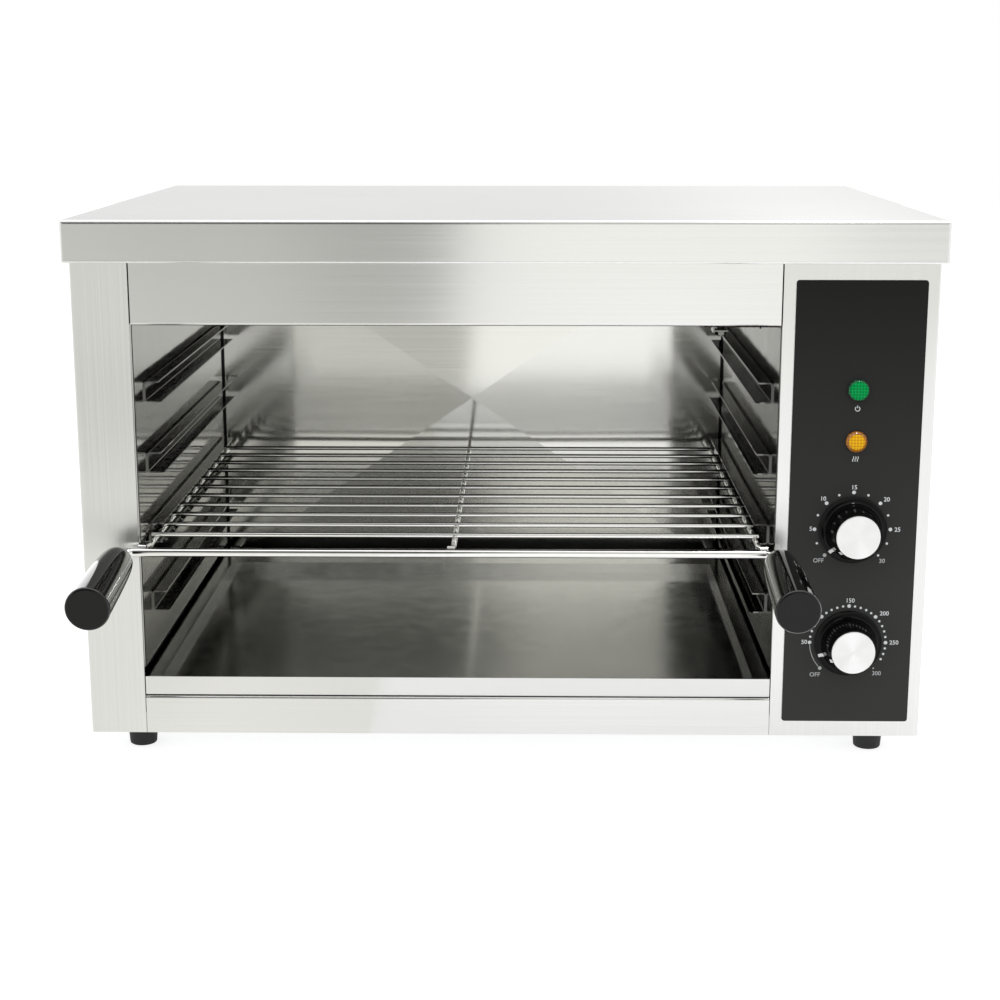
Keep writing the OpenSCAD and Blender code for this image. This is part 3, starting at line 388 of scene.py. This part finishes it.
def tray_sheet(name, colour, front_colour):
    """Bright sheet whose floor is painted darker than its front lip as shade, and darker still at
    its side walls and along them as painted shade.
    """
    finish = Finish(name, Metallic=1.0)
    slow = finish.noise(finish.stretched(14, 14, 14))
    haze = finish.noise(finish.stretched(60, 60, 60), detail=3.0)
    facing = finish.parts(finish.node("ShaderNodeNewGeometry").outputs["True Normal"])
    sideways = finish.ranged(finish.maths("ABSOLUTE", facing[0]), 0.3, 0.9, 0, 1)
    centre, reach = middle("crumb_tray").x, (high("crumb_tray") - low("crumb_tray")).x / 2
    band_start, band_full, lip = 34 * MM, 14 * MM, 3 * MM
    aside = finish.maths("ABSOLUTE", finish.maths("SUBTRACT", finish.parts()[0], centre))
    beside = finish.ranged(aside, reach - band_start, reach - band_full, 0, 1)
    inner = finish.maths("GREATER_THAN", finish.parts()[1], low("crumb_tray").y + lip)
    # Painted shade at the side walls and in a band along them, behind the lip.
    painted_side_shade = finish.maths("MAXIMUM", sideways, finish.maths(
        "MULTIPLY", finish.maths("MULTIPLY", beside, inner), 0.55))
    # Painted shade: the floor takes the darker tray colour, the lip the casing colour.
    tones = finish.blended(haze, shade(colour, 0.95), shade(colour, 1.05))
    tones = finish.blended(inner, shade(front_colour, 0.95), tones)
    return finish.into(
        Base_Color=finish.blended(painted_side_shade, tones, shade(colour, 0.25)),
        Roughness=finish.ranged(haze, 0.3, 0.7, 0.12, 0.18),
        Normal=finish.bump(slow, 0.0002))


def spun_cap(name, centre):
    """Spun aluminium: rings round the shaft spread the light into faint fans."""
    finish = Finish(name, Metallic=1.0, Anisotropic=0.85)
    offset = finish.parts(finish.vector("SUBTRACT", finish.place, tuple(centre)))
    flat = finish.joined(X=offset[0], Z=offset[2])
    length = finish.node("ShaderNodeVectorMath", operation="LENGTH")
    radius = finish.feed(length, i0=flat).outputs["Value"]
    rings = finish.noise(finish.joined(X=finish.maths("MULTIPLY", radius, 5000.0)))
    round_shaft = finish.joined(X=finish.maths("MULTIPLY", offset[2], -1.0), Z=offset[0])
    return finish.into(
        Base_Color=finish.blended(rings, (0.91, 0.91, 0.91, 1), (0.96, 0.96, 0.96, 1)),
        Roughness=finish.ranged(rings, 0.3, 0.7, 0.33, 0.40),
        Normal=finish.bump(rings, 0.000004),
        Tangent=finish.vector("NORMALIZE", round_shaft))


def chromed(name, colour):
    """Bright plating with a faint waviness."""
    finish = Finish(name, Metallic=1.0)
    waves = finish.noise(finish.stretched(120, 120, 120))
    return finish.into(
        Base_Color=finish.blended(waves, shade(colour, 0.94), shade(colour, 1.05)),
        Roughness=finish.ranged(waves, 0.3, 0.7, 0.06, 0.12),
        Normal=finish.bump(waves, 0.00002))


def polished_bakelite(name, colour):
    """Bakelite with polished sides and duller end faces."""
    finish = Finish(name, Specular_IOR_Level=0.3, Coat_Roughness=0.03)
    facing = finish.parts(finish.node("ShaderNodeNewGeometry").outputs["True Normal"])
    ends = finish.maths("ABSOLUTE", facing[1])
    skin = finish.noise(finish.stretched(60, 60, 60))
    return finish.into(
        Base_Color=finish.blended(skin, shade(colour, 0.8), shade(colour, 1.2)),
        Coat_Weight=finish.ranged(ends, 0.6, 0.9, 1, 0),
        Roughness=finish.ranged(ends, 0.6, 0.9, 0.05, 0.2),
        Normal=finish.bump(skin, 0.00002))


def moulded(name, colour, rough=(0.4, 0.5), gloss=0.4, skin=0.000002):
    """Moulded plastic or rubber with a fine skin."""
    finish = Finish(name, Specular_IOR_Level=gloss)
    fine = finish.noise(finish.stretched(700, 700, 700), detail=3.0)
    broad = finish.noise(finish.stretched(40, 40, 40))
    return finish.into(
        Base_Color=finish.blended(broad, shade(colour, 0.85), shade(colour, 1.15)),
        Roughness=finish.ranged(broad, 0.3, 0.7, *rough),
        Normal=finish.bump(fine, skin))


def dark_overlay(name, colour):
    """Satin film with painted light, paler towards the bottom edge, and a fine tooth."""
    finish = Finish(name, Specular_IOR_Level=0.06)
    bottom, top = low("control_plate").z, high("control_plate").z
    # Painted light: the film brightens from its top down to three tenths of its height.
    painted_light_fall = finish.ranged(finish.parts()[2], bottom + 0.3 * (top - bottom), top, 1, 0)
    tooth = finish.noise(finish.stretched(1500, 1500, 1500))
    return finish.into(
        Base_Color=finish.blended(painted_light_fall, shade(colour, 0.41), shade(colour, 1.25)),
        Roughness=finish.ranged(tooth, 0.3, 0.7, 0.42, 0.50),
        Normal=finish.bump(tooth, 0.000004))


def printed_ink(name, colour):
    """Matt ink with a fine grain."""
    finish = Finish(name)
    grain = finish.noise(finish.stretched(3000, 3000, 3000), detail=1.0)
    return finish.into(
        Base_Color=finish.blended(grain, shade(colour, 0.85), shade(colour, 1.1)),
        Roughness=finish.ranged(grain, 0.3, 0.7, 0.5, 0.65))


def clear_lens(name, colour, glow, depth, coat):
    """Coloured clear plastic with a grid of small diamonds pressed into it."""
    finish = Finish(name, Transmission_Weight=0.1, IOR=1.49, Emission_Strength=glow,
                    Emission_Color=shade(colour, 1.0), Coat_Weight=coat, Coat_Roughness=0.03,
                    Specular_IOR_Level=0.04 + 0.36 * coat)
    place = finish.parts(finish.stretched(1500, 1500, 1500))
    diagonals = [finish.maths("SINE", finish.maths(way, place[0], place[2]))
                 for way in ("ADD", "SUBTRACT")]
    diamonds = finish.maths("MULTIPLY", *diagonals)
    return finish.into(
        Base_Color=finish.blended(finish.ranged(diamonds, -1, 1, 0, 1),
                                  shade(colour, 0.6), shade(colour, 1.6)),
        Roughness=finish.ranged(diamonds, -1, 1, 0.06, 0.16),
        Normal=finish.bump(diamonds, depth))


def heated_sheath(name):
    """Element sheath, dark and mottled from heat."""
    finish = Finish(name, Metallic=0.7)
    mottle = finish.noise(finish.stretched(90, 160, 160), detail=4.0)
    return finish.into(
        Base_Color=finish.blended(mottle, (0.08, 0.07, 0.06, 1), (0.24, 0.22, 0.20, 1)),
        Roughness=finish.ranged(mottle, 0.3, 0.7, 0.4, 0.6),
        Normal=finish.bump(mottle, 0.00005))


def zinc_sheet(name):
    """Zinc-plated sheet with its spangle."""
    finish = Finish(name, Metallic=1.0)
    spangle = finish.parts(finish.cells(140)["Color"])[0]
    return finish.into(
        Base_Color=finish.blended(spangle, (0.56, 0.57, 0.58, 1), (0.70, 0.71, 0.72, 1)),
        Roughness=finish.ranged(spangle, 0.3, 0.7, 0.34, 0.5),
        Normal=finish.bump(spangle, 0.00002))


def metal_fitting(name, colour, rough=(0.22, 0.34)):
    """Plain or plated metal with fine marks."""
    finish = Finish(name, Metallic=1.0)
    marks = finish.noise(finish.stretched(600, 600, 600), detail=3.0)
    return finish.into(
        Base_Color=finish.blended(marks, shade(colour, 0.85), shade(colour, 1.1)),
        Roughness=finish.ranged(marks, 0.3, 0.7, *rough),
        Normal=finish.bump(marks, 0.00001))


def paint(material, *nodes):
    """Gives CAD nodes a finish by filling their material slots."""
    for name in nodes:
        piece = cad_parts[name]
        if not piece.material_slots:
            piece.data.materials.append(material)
        for place in piece.material_slots:
            place.material = material


def dress(piece, material, body):
    """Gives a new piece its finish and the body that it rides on."""
    piece.data.materials.clear()
    piece.data.materials.append(material)
    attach(piece, body)
    return piece


# ---- Operators: one for each piece or group of like pieces ----

class MELTER_OT_sheet_metal(bpy.types.Operator):
    """Give the casing and the cavity their sheet finishes"""
    bl_idname = "melter.sheet_metal"
    bl_label = "Sheet metal"

    def execute(self, context):
        colours = context.scene.melter_colours
        paint(brushed_sheet("casing_sheet", colours.sheet, "X"),
              "top_cover", "upper_fascia", "lower_fascia")
        paint(brushed_sheet("upright_sheet", colours.sheet, "Z", rough=(0.23, 0.27)),
              "left_side_panel", "control_housing")
        # Painted shade in the back wall's two rear corners.
        corner_shade_width = 1.6 * MM
        back_wall = brushed_sheet("back_wall_sheet", colours.cavity, "X", rough=(0.09, 0.12))
        paint(corner_shaded(back_wall, high("cavity_left_wall").x, low("cavity_right_wall").x, corner_shade_width),
              "cavity_back_wall")
        # Painted shade: the side walls, runners, ceiling and brackets take darker copies of the
        # cavity steel.
        paint(bright_sheet("left_wall_shaded_sheet", colours.side, glance=0.78), "cavity_left_wall")
        paint(bright_sheet("right_wall_shaded_sheet", colours.side, glance=0.65),
              "cavity_right_wall")
        paint(bright_sheet("runner_shaded_sheet", colours.runner, waves=0.0, glance=0.65),
              "cavity_ceiling", "left_element_bracket", "right_element_bracket", "bulb_clip",
              "left_tray_runner", "right_tray_runner",
              *(f"{side}_runner_{level}" for side in ("left", "right") for level in range(1, 5)))
        paint(tray_sheet("tray_sheet", colours.tray, colours.sheet), "crumb_tray")
        paint(zinc_sheet("zinc_sheet"), "back_panel", "base_plate")
        paint(dark_overlay("plate_film", colours.overlay), "control_plate")
        return {"FINISHED"}


class MELTER_OT_hem(bpy.types.Operator):
    """Model the rolled hem that runs round the lid's lower edge"""
    bl_idname = "melter.hem"
    bl_label = "Lid hem"

    def execute(self, context):
        corner, far_corner = low("top_cover"), high("top_cover")
        size = far_corner - corner
        centre = (corner + far_corner) / 2
        # Each station is millimetres over the lid's lower edge, then outside its skirt.
        stations = ((1.3, -0.3), (1.3, 0.0), (1.1, 0.35), (0.6, 0.25), (0.2, 0.05),
                    (-0.1, -0.3), (1.3, -0.3))
        corner_radius = 3 * MM
        deselect()
        bpy.ops.mesh.primitive_plane_add(
            size=1, location=(centre.x, centre.y, corner.z + stations[0][0] * MM))
        hem = named("lid_hem")
        reach = [side / 2 + stations[0][1] * MM for side in size[:2]]
        hem.scale = (2 * reach[0], 2 * reach[1], 1)
        settle(hem)
        edit(hem)
        bpy.ops.mesh.bevel(offset=corner_radius, segments=5, affect="VERTICES")
        bpy.ops.mesh.select_all(action="SELECT")
        bpy.ops.mesh.delete(type="ONLY_FACE")
        bpy.ops.mesh.select_mode(type="EDGE")
        bpy.ops.mesh.select_all(action="SELECT")
        for (height, _), (next_height, next_outset) in zip(stations, stations[1:]):
            bpy.ops.mesh.extrude_edges_move(
                TRANSFORM_OT_translate={"value": (0, 0, (next_height - height) * MM)})
            outer = [side / 2 + next_outset * MM for side in size[:2]]
            bpy.ops.transform.resize(
                value=(outer[0] / reach[0], outer[1] / reach[1], 1), center_override=centre)
            reach = outer
        close_up()
        # Painted highlight: the hem takes the casing steel a tenth brighter.
        sheet = shade(context.scene.melter_colours.sheet, 1.1)[:3]
        dress(smooth(hem, 30), metal_fitting("hem_painted_highlight_steel", sheet, rough=(0.12, 0.18)),
              "casing")
        return {"FINISHED"}


class MELTER_OT_fittings(bpy.types.Operator):
    """Give the rack, the handles, the feet and the inner fittings their finishes"""
    bl_idname = "melter.fittings"
    bl_label = "Rack, handles and fittings"

    def execute(self, context):
        colours = context.scene.melter_colours
        paint(chromed("chrome", colours.chrome),
              "rack_front_rod", "rack_long_wires", "rack_cross_wires")
        paint(polished_bakelite("bakelite", colours.bakelite), "left_handle", "right_handle")
        paint(moulded("knob_bakelite", colours.bakelite, rough=(0.07, 0.1), gloss=0.13),
              "timer_knob", "thermostat_knob")
        paint(moulded("rubber", (0.018, 0.018, 0.018), rough=(0.55, 0.7), skin=0.00001),
              "front_left_foot", "front_right_foot", "rear_left_foot", "rear_right_foot")
        paint(moulded("black_nylon", (0.02, 0.02, 0.02)), "cable_gland", "gland_nut")
        paint(moulded("white_nylon", (0.75, 0.73, 0.66)),
              "power_lamp_body", "heat_lamp_body", "timer_body", "thermostat_body",
              "terminal_block")
        paint(heated_sheath("heated_sheath"), "front_element", "rear_element")
        paint(metal_fitting("brass", (0.70, 0.50, 0.25)), "earth_stud")
        paint(metal_fitting("copper", (0.55, 0.34, 0.24)), "capillary_tube", "thermostat_bulb")
        paint(metal_fitting("plated_steel", (0.72, 0.72, 0.71)), "timer_shaft",
              "thermostat_shaft", "control_screws", "foot_bolts", "casing_screws")
        return {"FINISHED"}


class MELTER_OT_knobs(bpy.types.Operator):
    """Finish the knobs' turned caps and paint their pointers"""
    bl_idname = "melter.knobs"
    bl_label = "Knobs"

    def execute(self, context):
        white = printed_ink("pointer_paint", (0.98, 0.98, 0.98))
        for control, degrees in (("timer", -135), ("thermostat", -113.5)):
            centre = on_plate(control + "_shaft")
            paint(spun_cap(control + "_spun_cap", centre), control + "_knob_cap")
            dashes = [self.dash(control, centre, degrees, *reach, 2.4 * MM)
                      for reach in ((19.0 * MM, 22.6 * MM), (15.5 * MM, 16.9 * MM))]
            dress(merged(control + "_pointer", dashes), white, control + "_knob")
        return {"FINISHED"}

    def dash(self, control, centre, degrees, inner, outer, width):
        """A painted dash along a radius, laid on the knob's front and given its thickness."""
        deselect()
        clear_of_knob = 5 * MM
        spot = polar(centre, degrees, (inner + outer) / 2)
        spot.y = low(control + "_knob").y - clear_of_knob
        bpy.ops.mesh.primitive_grid_add(
            x_subdivisions=6, y_subdivisions=10, size=1, location=spot,
            rotation=(math.pi / 2, math.radians(degrees), 0))
        dash = named("dash")
        dash.scale = (width, outer - inner, 1)
        settle(dash)
        wrap = dash.modifiers.new("wrap", "SHRINKWRAP")
        wrap.wrap_method = "PROJECT"
        wrap.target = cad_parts[control + "_knob"]
        wrap.use_project_y = True
        wrap.offset = 0.1 * MM
        thick = dash.modifiers.new("thickness", "SOLIDIFY")
        thick.thickness = 0.08 * MM
        thick.offset = 0
        for modifier in ("wrap", "thickness"):
            bpy.ops.object.modifier_apply(modifier=modifier)
        edit(dash)
        close_up()
        return dash


class MELTER_OT_lamps(bpy.types.Operator):
    """Model the two lamps' lenses: a clear rim round a crowned, patterned disc"""
    bl_idname = "melter.lamps"
    bl_label = "Lamps"

    def execute(self, context):
        colours = context.scene.melter_colours
        for lamp, slot, rim_colour, disc_colour, glow, disc in (
                ("power", "green_lens", (0.01, 0.13, 0.05), colours.power, 0.10, 6.4),
                ("heat", "amber_lens", (0.42, 0.15, 0.01), colours.heat, 0.15, 5.6)):
            centre = on_plate(lamp + "_lamp_lens")
            rim = smooth(turned(lamp + "_lamp_rim", centre, [
                (0.0, 7.3 * MM), (1.8 * MM, 7.3 * MM), (2.3 * MM, 7.15 * MM),
                (2.9 * MM, (disc + 0.75) * MM), (3.5 * MM, (disc + 0.3) * MM),
                (3.6 * MM, (disc + 0.15) * MM), (2.6 * MM, (disc + 0.05) * MM)]), 50)
            lens = smooth(turned(lamp + "_lamp_disc", centre, [
                (2.2 * MM, disc * MM), (3.3 * MM, disc * MM), (3.9 * MM, (disc - 0.6) * MM),
                (4.3 * MM, disc * 0.6 * MM), (4.45 * MM, disc * 0.2 * MM)]))
            dress(rim, clear_lens(lamp + "_rim", rim_colour, 0.0, 0.00001, 1.0), "casing")
            dress(lens, clear_lens(lamp + "_disc", disc_colour, glow, 0.00008, 0.0), "casing")
            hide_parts(lamp + "_lamp_lens")
        return {"FINISHED"}


class MELTER_OT_dials(bpy.types.Operator):
    """Print the dials' dots and numbers and the lamps' pictograms on the control plate"""
    bl_idname = "melter.dials"
    bl_label = "Dials"

    def execute(self, context):
        sizes = context.scene.melter_dials
        ink = printed_ink("dial_ink", context.scene.melter_colours.ink)
        faint = printed_ink("faint_ink", shade(context.scene.melter_colours.ink, 0.62)[:3])

        centre = on_plate("timer_shaft")
        dots = self.dots(centre, sizes.timer_ring, range(-90, 91, 45), sizes.big_dot, sizes)
        between = (-112.5, -67.5, -22.5, 22.5, 67.5, 112.5, 135)
        dots += self.dots(centre, sizes.timer_ring, between, sizes.small_dot, sizes)
        words = (("5", -28.9, 0.2), ("10", -21.1, 21.7), ("15", 0.1, 29.8),
                 ("20", 22.9, 21.3), ("25", 31.3, -0.2))
        self.print_on("timer_dial", dots + self.numbers(centre, words, sizes), ink)
        words = (("OFF", -22.8, -22.5), ("30", 21.5, -22.7))
        self.print_on("timer_ends", self.numbers(centre, words, sizes)
                      + self.dots(centre, sizes.timer_ring, (-135,), sizes.big_dot, sizes), faint)

        centre = on_plate("thermostat_shaft")
        dots = self.dots(centre, sizes.heat_ring, range(-90, 91, 45), sizes.big_dot, sizes)
        between = [degrees for degrees in range(-81, 118, 9) if degrees % 45]
        dots += self.dots(centre, sizes.heat_ring, between, sizes.small_dot, sizes)
        words = (("50", -30.5, 0.2), ("100", -24.9, 21.3), ("150", 0.6, 30.6),
                 ("200", 24.9, 21.3), ("250", 32.6, 0.0))
        self.print_on("thermostat_dial", dots + self.numbers(centre, words, sizes), ink)
        words = (("OFF", -22.2, -23.8), ("300", 21.3, -22.7))
        ends = self.numbers(centre, words, sizes)
        ends += self.dots(centre, sizes.heat_ring, (-135,), sizes.big_dot, sizes)
        ends += self.dots(centre, sizes.heat_ring, (135,), sizes.small_dot * 0.7, sizes)
        ends.append(self.arc(centre, sizes.heat_ring, -131, -94, sizes))
        self.print_on("thermostat_ends", ends, faint)

        self.print_on("power_sign", self.power_sign(sizes), ink)
        self.print_on("heat_sign", self.heat_sign(sizes), ink)
        return {"FINISHED"}

    def print_on(self, name, marks, ink):
        """Joins the marks into one print on the dark plate."""
        dress(merged(name, marks), ink, "casing")

    def dots(self, centre, ring, angles, radius, sizes):
        """Low domed dots round a ring."""
        return [turned("dot", polar(centre, degrees, ring), [
            (0.0, radius), (sizes.ink * 0.6, radius), (sizes.ink, radius * 0.93)], sides=20)
            for degrees in angles]

    def numbers(self, centre, words, sizes):
        """Words set upright, each at its distance in mm right of and over the shaft."""
        pieces = []
        for text, across, up in words:
            deselect()
            bpy.ops.object.text_add(rotation=(math.pi / 2, 0, 0))
            piece = bpy.context.object
            piece.data.body = text
            piece.data.size = sizes.number
            piece.data.align_x = "CENTER"
            piece.data.align_y = "CENTER"
            piece.data.extrude = sizes.ink / 2
            piece.data.offset = sizes.weight
            piece.data.resolution_u = 3
            piece.location = centre + Vector((across * MM, -sizes.ink / 2, up * MM))
            bpy.ops.object.convert(target="MESH")
            pieces.append(settle(bpy.context.object))
        return pieces

    def arc(self, centre, ring, start, end, sizes):
        """Thin line round part of a ring, spun from its square end."""
        deselect()
        bpy.ops.mesh.primitive_plane_add(
            size=1, rotation=(0, math.radians(start) + math.pi / 2, 0),
            location=polar(centre, start, ring) + FRONT * sizes.ink / 2)
        line = named("arc")
        line.scale = (sizes.line, sizes.ink, 1)
        settle(line)
        edit(line)
        bpy.ops.mesh.spin(steps=max(4, int(abs(end - start) / 9)), center=centre,
                          angle=math.radians(end - start), axis=(0, -1, 0))
        bpy.ops.mesh.select_all(action="SELECT")
        bpy.ops.mesh.fill_holes(sides=4)
        close_up()
        return line

    def power_sign(self, sizes):
        """A ring broken at its top by an upright bar."""
        centre = on_plate("power_lamp_lens") + Vector((0, 0, -13 * MM))
        bar = self.bar(centre + Vector((0, 0, 1.4 * MM)), sizes.line, 1.8 * MM, sizes)
        return [self.arc(centre, 1.6 * MM, 35, 325, sizes), bar]

    def heat_sign(self, sizes):
        """Three wavy lines that rise side by side, each of two bends."""
        centre = on_plate("heat_lamp_lens") + Vector((0, 0, -12.3 * MM))
        pieces = []
        for across in (-1.6 * MM, 0.0, 1.6 * MM):
            for up, side in ((0.9 * MM, 1), (-0.9 * MM, -1)):
                hub = centre + Vector((across - side * 0.8 * MM, 0, up))
                pieces.append(self.arc(hub, 1.2 * MM, side * 90 - 48, side * 90 + 48, sizes))
        return pieces

    def bar(self, centre, width, height, sizes):
        """An upright bar as thick as the ink."""
        deselect()
        bpy.ops.mesh.primitive_plane_add(size=1, rotation=(math.pi / 2, 0, 0), location=centre)
        bar = named("bar")
        bar.scale = (width, height, 1)
        settle(bar)
        edit(bar)
        bpy.ops.mesh.extrude_region_move(TRANSFORM_OT_translate={"value": FRONT * sizes.ink})
        close_up()
        return bar


class MELTER_OT_stage(bpy.types.Operator):
    """Set the floor, the lamps, the surroundings and the camera"""
    bl_idname = "melter.stage"
    bl_label = "Stage"

    def execute(self, context):
        stage = context.scene.melter_stage
        context.scene.view_settings.view_transform = "Standard"
        self.floor()
        self.cards(stage.card)
        self.surroundings(stage.ambient)
        self.lamp("overhead", (0, -0.1, 1.6), (0, 0, 0.2), 1.6, 1.2, stage.ceiling)
        glint = self.lamp("glint", (0.4, -0.2, 1.6), (0.25, -0.2, 0.1), 0.4, 0.15, stage.glint)
        rim = self.lamp("rim", (-1.25, 1.6, 0.45), (-1.25, 0, 0.45), 0.85, 1.0, stage.rim)
        for gloss_only in (glint, rim):
            gloss_only.visible_diffuse = False
        self.camera(stage.lens)
        return {"FINISHED"}

    def floor(self):
        """Floor that shows white, mirrors as pale grey and keeps the object's shadow."""
        deselect()
        bpy.ops.mesh.primitive_grid_add(x_subdivisions=2, y_subdivisions=2, size=12)
        floor = named("floor")
        finish = Finish("pale_floor", Roughness=1.0, Specular_IOR_Level=0.0,
                        Emission_Color=(1, 1, 1, 1))
        light = finish.node("ShaderNodeLightPath").outputs
        glow = 0.0
        for ray, level in (("Camera", 0.76), ("Glossy", 0.62), ("Transmission", 0.52),
                           ("Diffuse", 0.35)):
            glow = finish.maths("ADD", glow,
                                finish.maths("MULTIPLY", light[f"Is {ray} Ray"], level))
        finish.into(Base_Color=(0.5, 0.5, 0.5, 1), Emission_Strength=glow)
        floor.data.materials.append(finish.material)

    def cards(self, tone):
        """Cards before the object and on the floor, which only its gloss sees: grey before
        the left half, dark above, paler before the far right."""
        front = low("control_housing").y
        gap, width, height = 2.05, 8, 3
        upright = self.card("upright_card", (0, front - gap, height / 2), math.pi / 2,
                            (width, height))
        across, _, up = upright.parts()
        lower = upright.ramp(across, -1, 1, (-0.8, tone * 1.08), (-0.45, tone), (-0.3, tone * 0.79),
                             (-0.12, tone * 0.79), (-0.09, 1.06), (0.5, 1.06), (0.64, 0.82))
        upper = upright.ramp(across, -1, 1, (-0.15, 0.1), (0.05, 0.55))
        rise = upright.ramp(across, -1, 1, (-0.15, 0.25), (0.05, 0))
        blend = upright.ranged(upright.maths("ADD", up, rise), 0.62, 0.85, 0, 1)
        level = upright.node("ShaderNodeMix", data_type="FLOAT")
        upright.feed(level, i0=blend, i2=lower, i3=upper)
        upright.into(Emission_Strength=level.outputs[0])
        right_edge, width, length = -0.1, 4, 2.03
        place = (right_edge - width / 2, front - gap + length / 2, MM)
        flat = self.card("flat_card", place, 0, (width, length))
        across, depth, _ = flat.parts()
        near = flat.ramp(across, -1, 0, (-0.30, 0.88), (-0.22, 0.95), (-0.1, 0.9))
        far = flat.ramp(across, -1, 0, (-0.75, tone * 1.05), (-0.6, tone * 0.72))
        level = flat.node("ShaderNodeMix", data_type="FLOAT")
        flat.feed(level, i0=flat.ranged(depth, front - 1.7, front - 0.5, 0, 1), i2=far, i3=near)
        flat.into(Emission_Strength=level.outputs[0])

    def card(self, name, place, tilt, size):
        """Card that only the object's gloss sees. Returns its finish."""
        deselect()
        bpy.ops.mesh.primitive_plane_add(size=1, rotation=(tilt, 0, 0), location=place)
        card = named(name)
        card.scale = (*size, 1)
        settle(card)
        finish = Finish(name, Base_Color=(0, 0, 0, 1), Specular_IOR_Level=0.0,
                        Emission_Color=(1, 1, 0.95, 1))
        card.data.materials.append(finish.material)
        card.visible_camera = False
        card.visible_diffuse = False
        card.visible_shadow = False
        card.visible_transmission = False
        return finish

    def surroundings(self, ambient):
        """White behind the object and in its gloss, a plain level for its light."""
        world = bpy.data.worlds.new("surroundings")
        bpy.context.scene.world = world
        world.use_nodes = True
        tree = world.node_tree
        light = tree.nodes.new("ShaderNodeLightPath")
        level = tree.nodes.new("ShaderNodeMapRange")
        tree.links.new(light.outputs["Is Diffuse Ray"], level.inputs["Value"])
        level.inputs["To Min"].default_value = 1.0
        level.inputs["To Max"].default_value = ambient
        background = tree.nodes["Background"]
        background.inputs["Color"].default_value = (1, 1, 1, 1)
        tree.links.new(level.outputs[0], background.inputs["Strength"])

    def lamp(self, name, place, target, width, height, power):
        """Flat lamp that faces its target, its height running towards the viewer."""
        light = bpy.data.lights.new(name, "AREA")
        light.shape = "RECTANGLE"
        light.size = width
        light.size_y = height
        light.energy = power
        holder = bpy.data.objects.new(name, light)
        bpy.context.scene.collection.objects.link(holder)
        holder.location = place
        holder.visible_camera = False
        aim = Vector(target) - Vector(place)
        holder.rotation_euler = aim.to_track_quat("-Z", "Y").to_euler()
        return holder

    def camera(self, lens):
        """Camera before the object, a little above the lid, that looks slightly down."""
        aside, distance, height = 0.0159, 1.2541, 0.4735
        downward, leftward = 12.75, 0.845
        eye = bpy.data.cameras.new("camera")
        eye.lens = lens
        eye.sensor_width = 36.0
        eye.clip_start = 0.01
        eye.clip_end = 50
        holder = bpy.data.objects.new("camera", eye)
        bpy.context.scene.collection.objects.link(holder)
        holder.location = (aside, low("control_housing").y - distance, height)
        holder.rotation_euler = (math.radians(90 - downward), 0, math.radians(leftward))
        bpy.context.scene.camera = holder


class MELTER_PT_panel(bpy.types.Panel):
    """Lists the melter's pieces, sizes and colours"""
    bl_idname = "MELTER_PT_panel"
    bl_label = "Cheese melter"
    bl_space_type = "VIEW_3D"
    bl_region_type = "UI"
    bl_category = "Melter"

    def draw(self, context):
        layout = self.layout
        for operator in OPERATORS:
            layout.operator(operator.bl_idname)
        for group in GROUPS:
            values = getattr(context.scene, group)
            for name in values.bl_rna.properties.keys():
                if name not in ("rna_type", "name"):
                    layout.prop(values, name)


OPERATORS = (
    MELTER_OT_sheet_metal, MELTER_OT_hem, MELTER_OT_fittings, MELTER_OT_knobs, MELTER_OT_lamps,
    MELTER_OT_dials, MELTER_OT_stage,
)
GROUPS = {
    "melter_colours": MelterColours,
    "melter_dials": MelterDials,
    "melter_stage": MelterStage,
}


def register():
    for kind in (*GROUPS.values(), *OPERATORS, MELTER_PT_panel):
        bpy.utils.register_class(kind)
    for name, kind in GROUPS.items():
        setattr(bpy.types.Scene, name, PointerProperty(type=kind))


def unregister():
    for name in GROUPS:
        delattr(bpy.types.Scene, name)
    for kind in (MELTER_PT_panel, *reversed(OPERATORS), *GROUPS.values()):
        bpy.utils.unregister_class(kind)


def main():
    register()
    for operator in OPERATORS:
        section, name = operator.bl_idname.split(".")
        getattr(getattr(bpy.ops, section), name)()


if __name__ == "__main__":
    main()
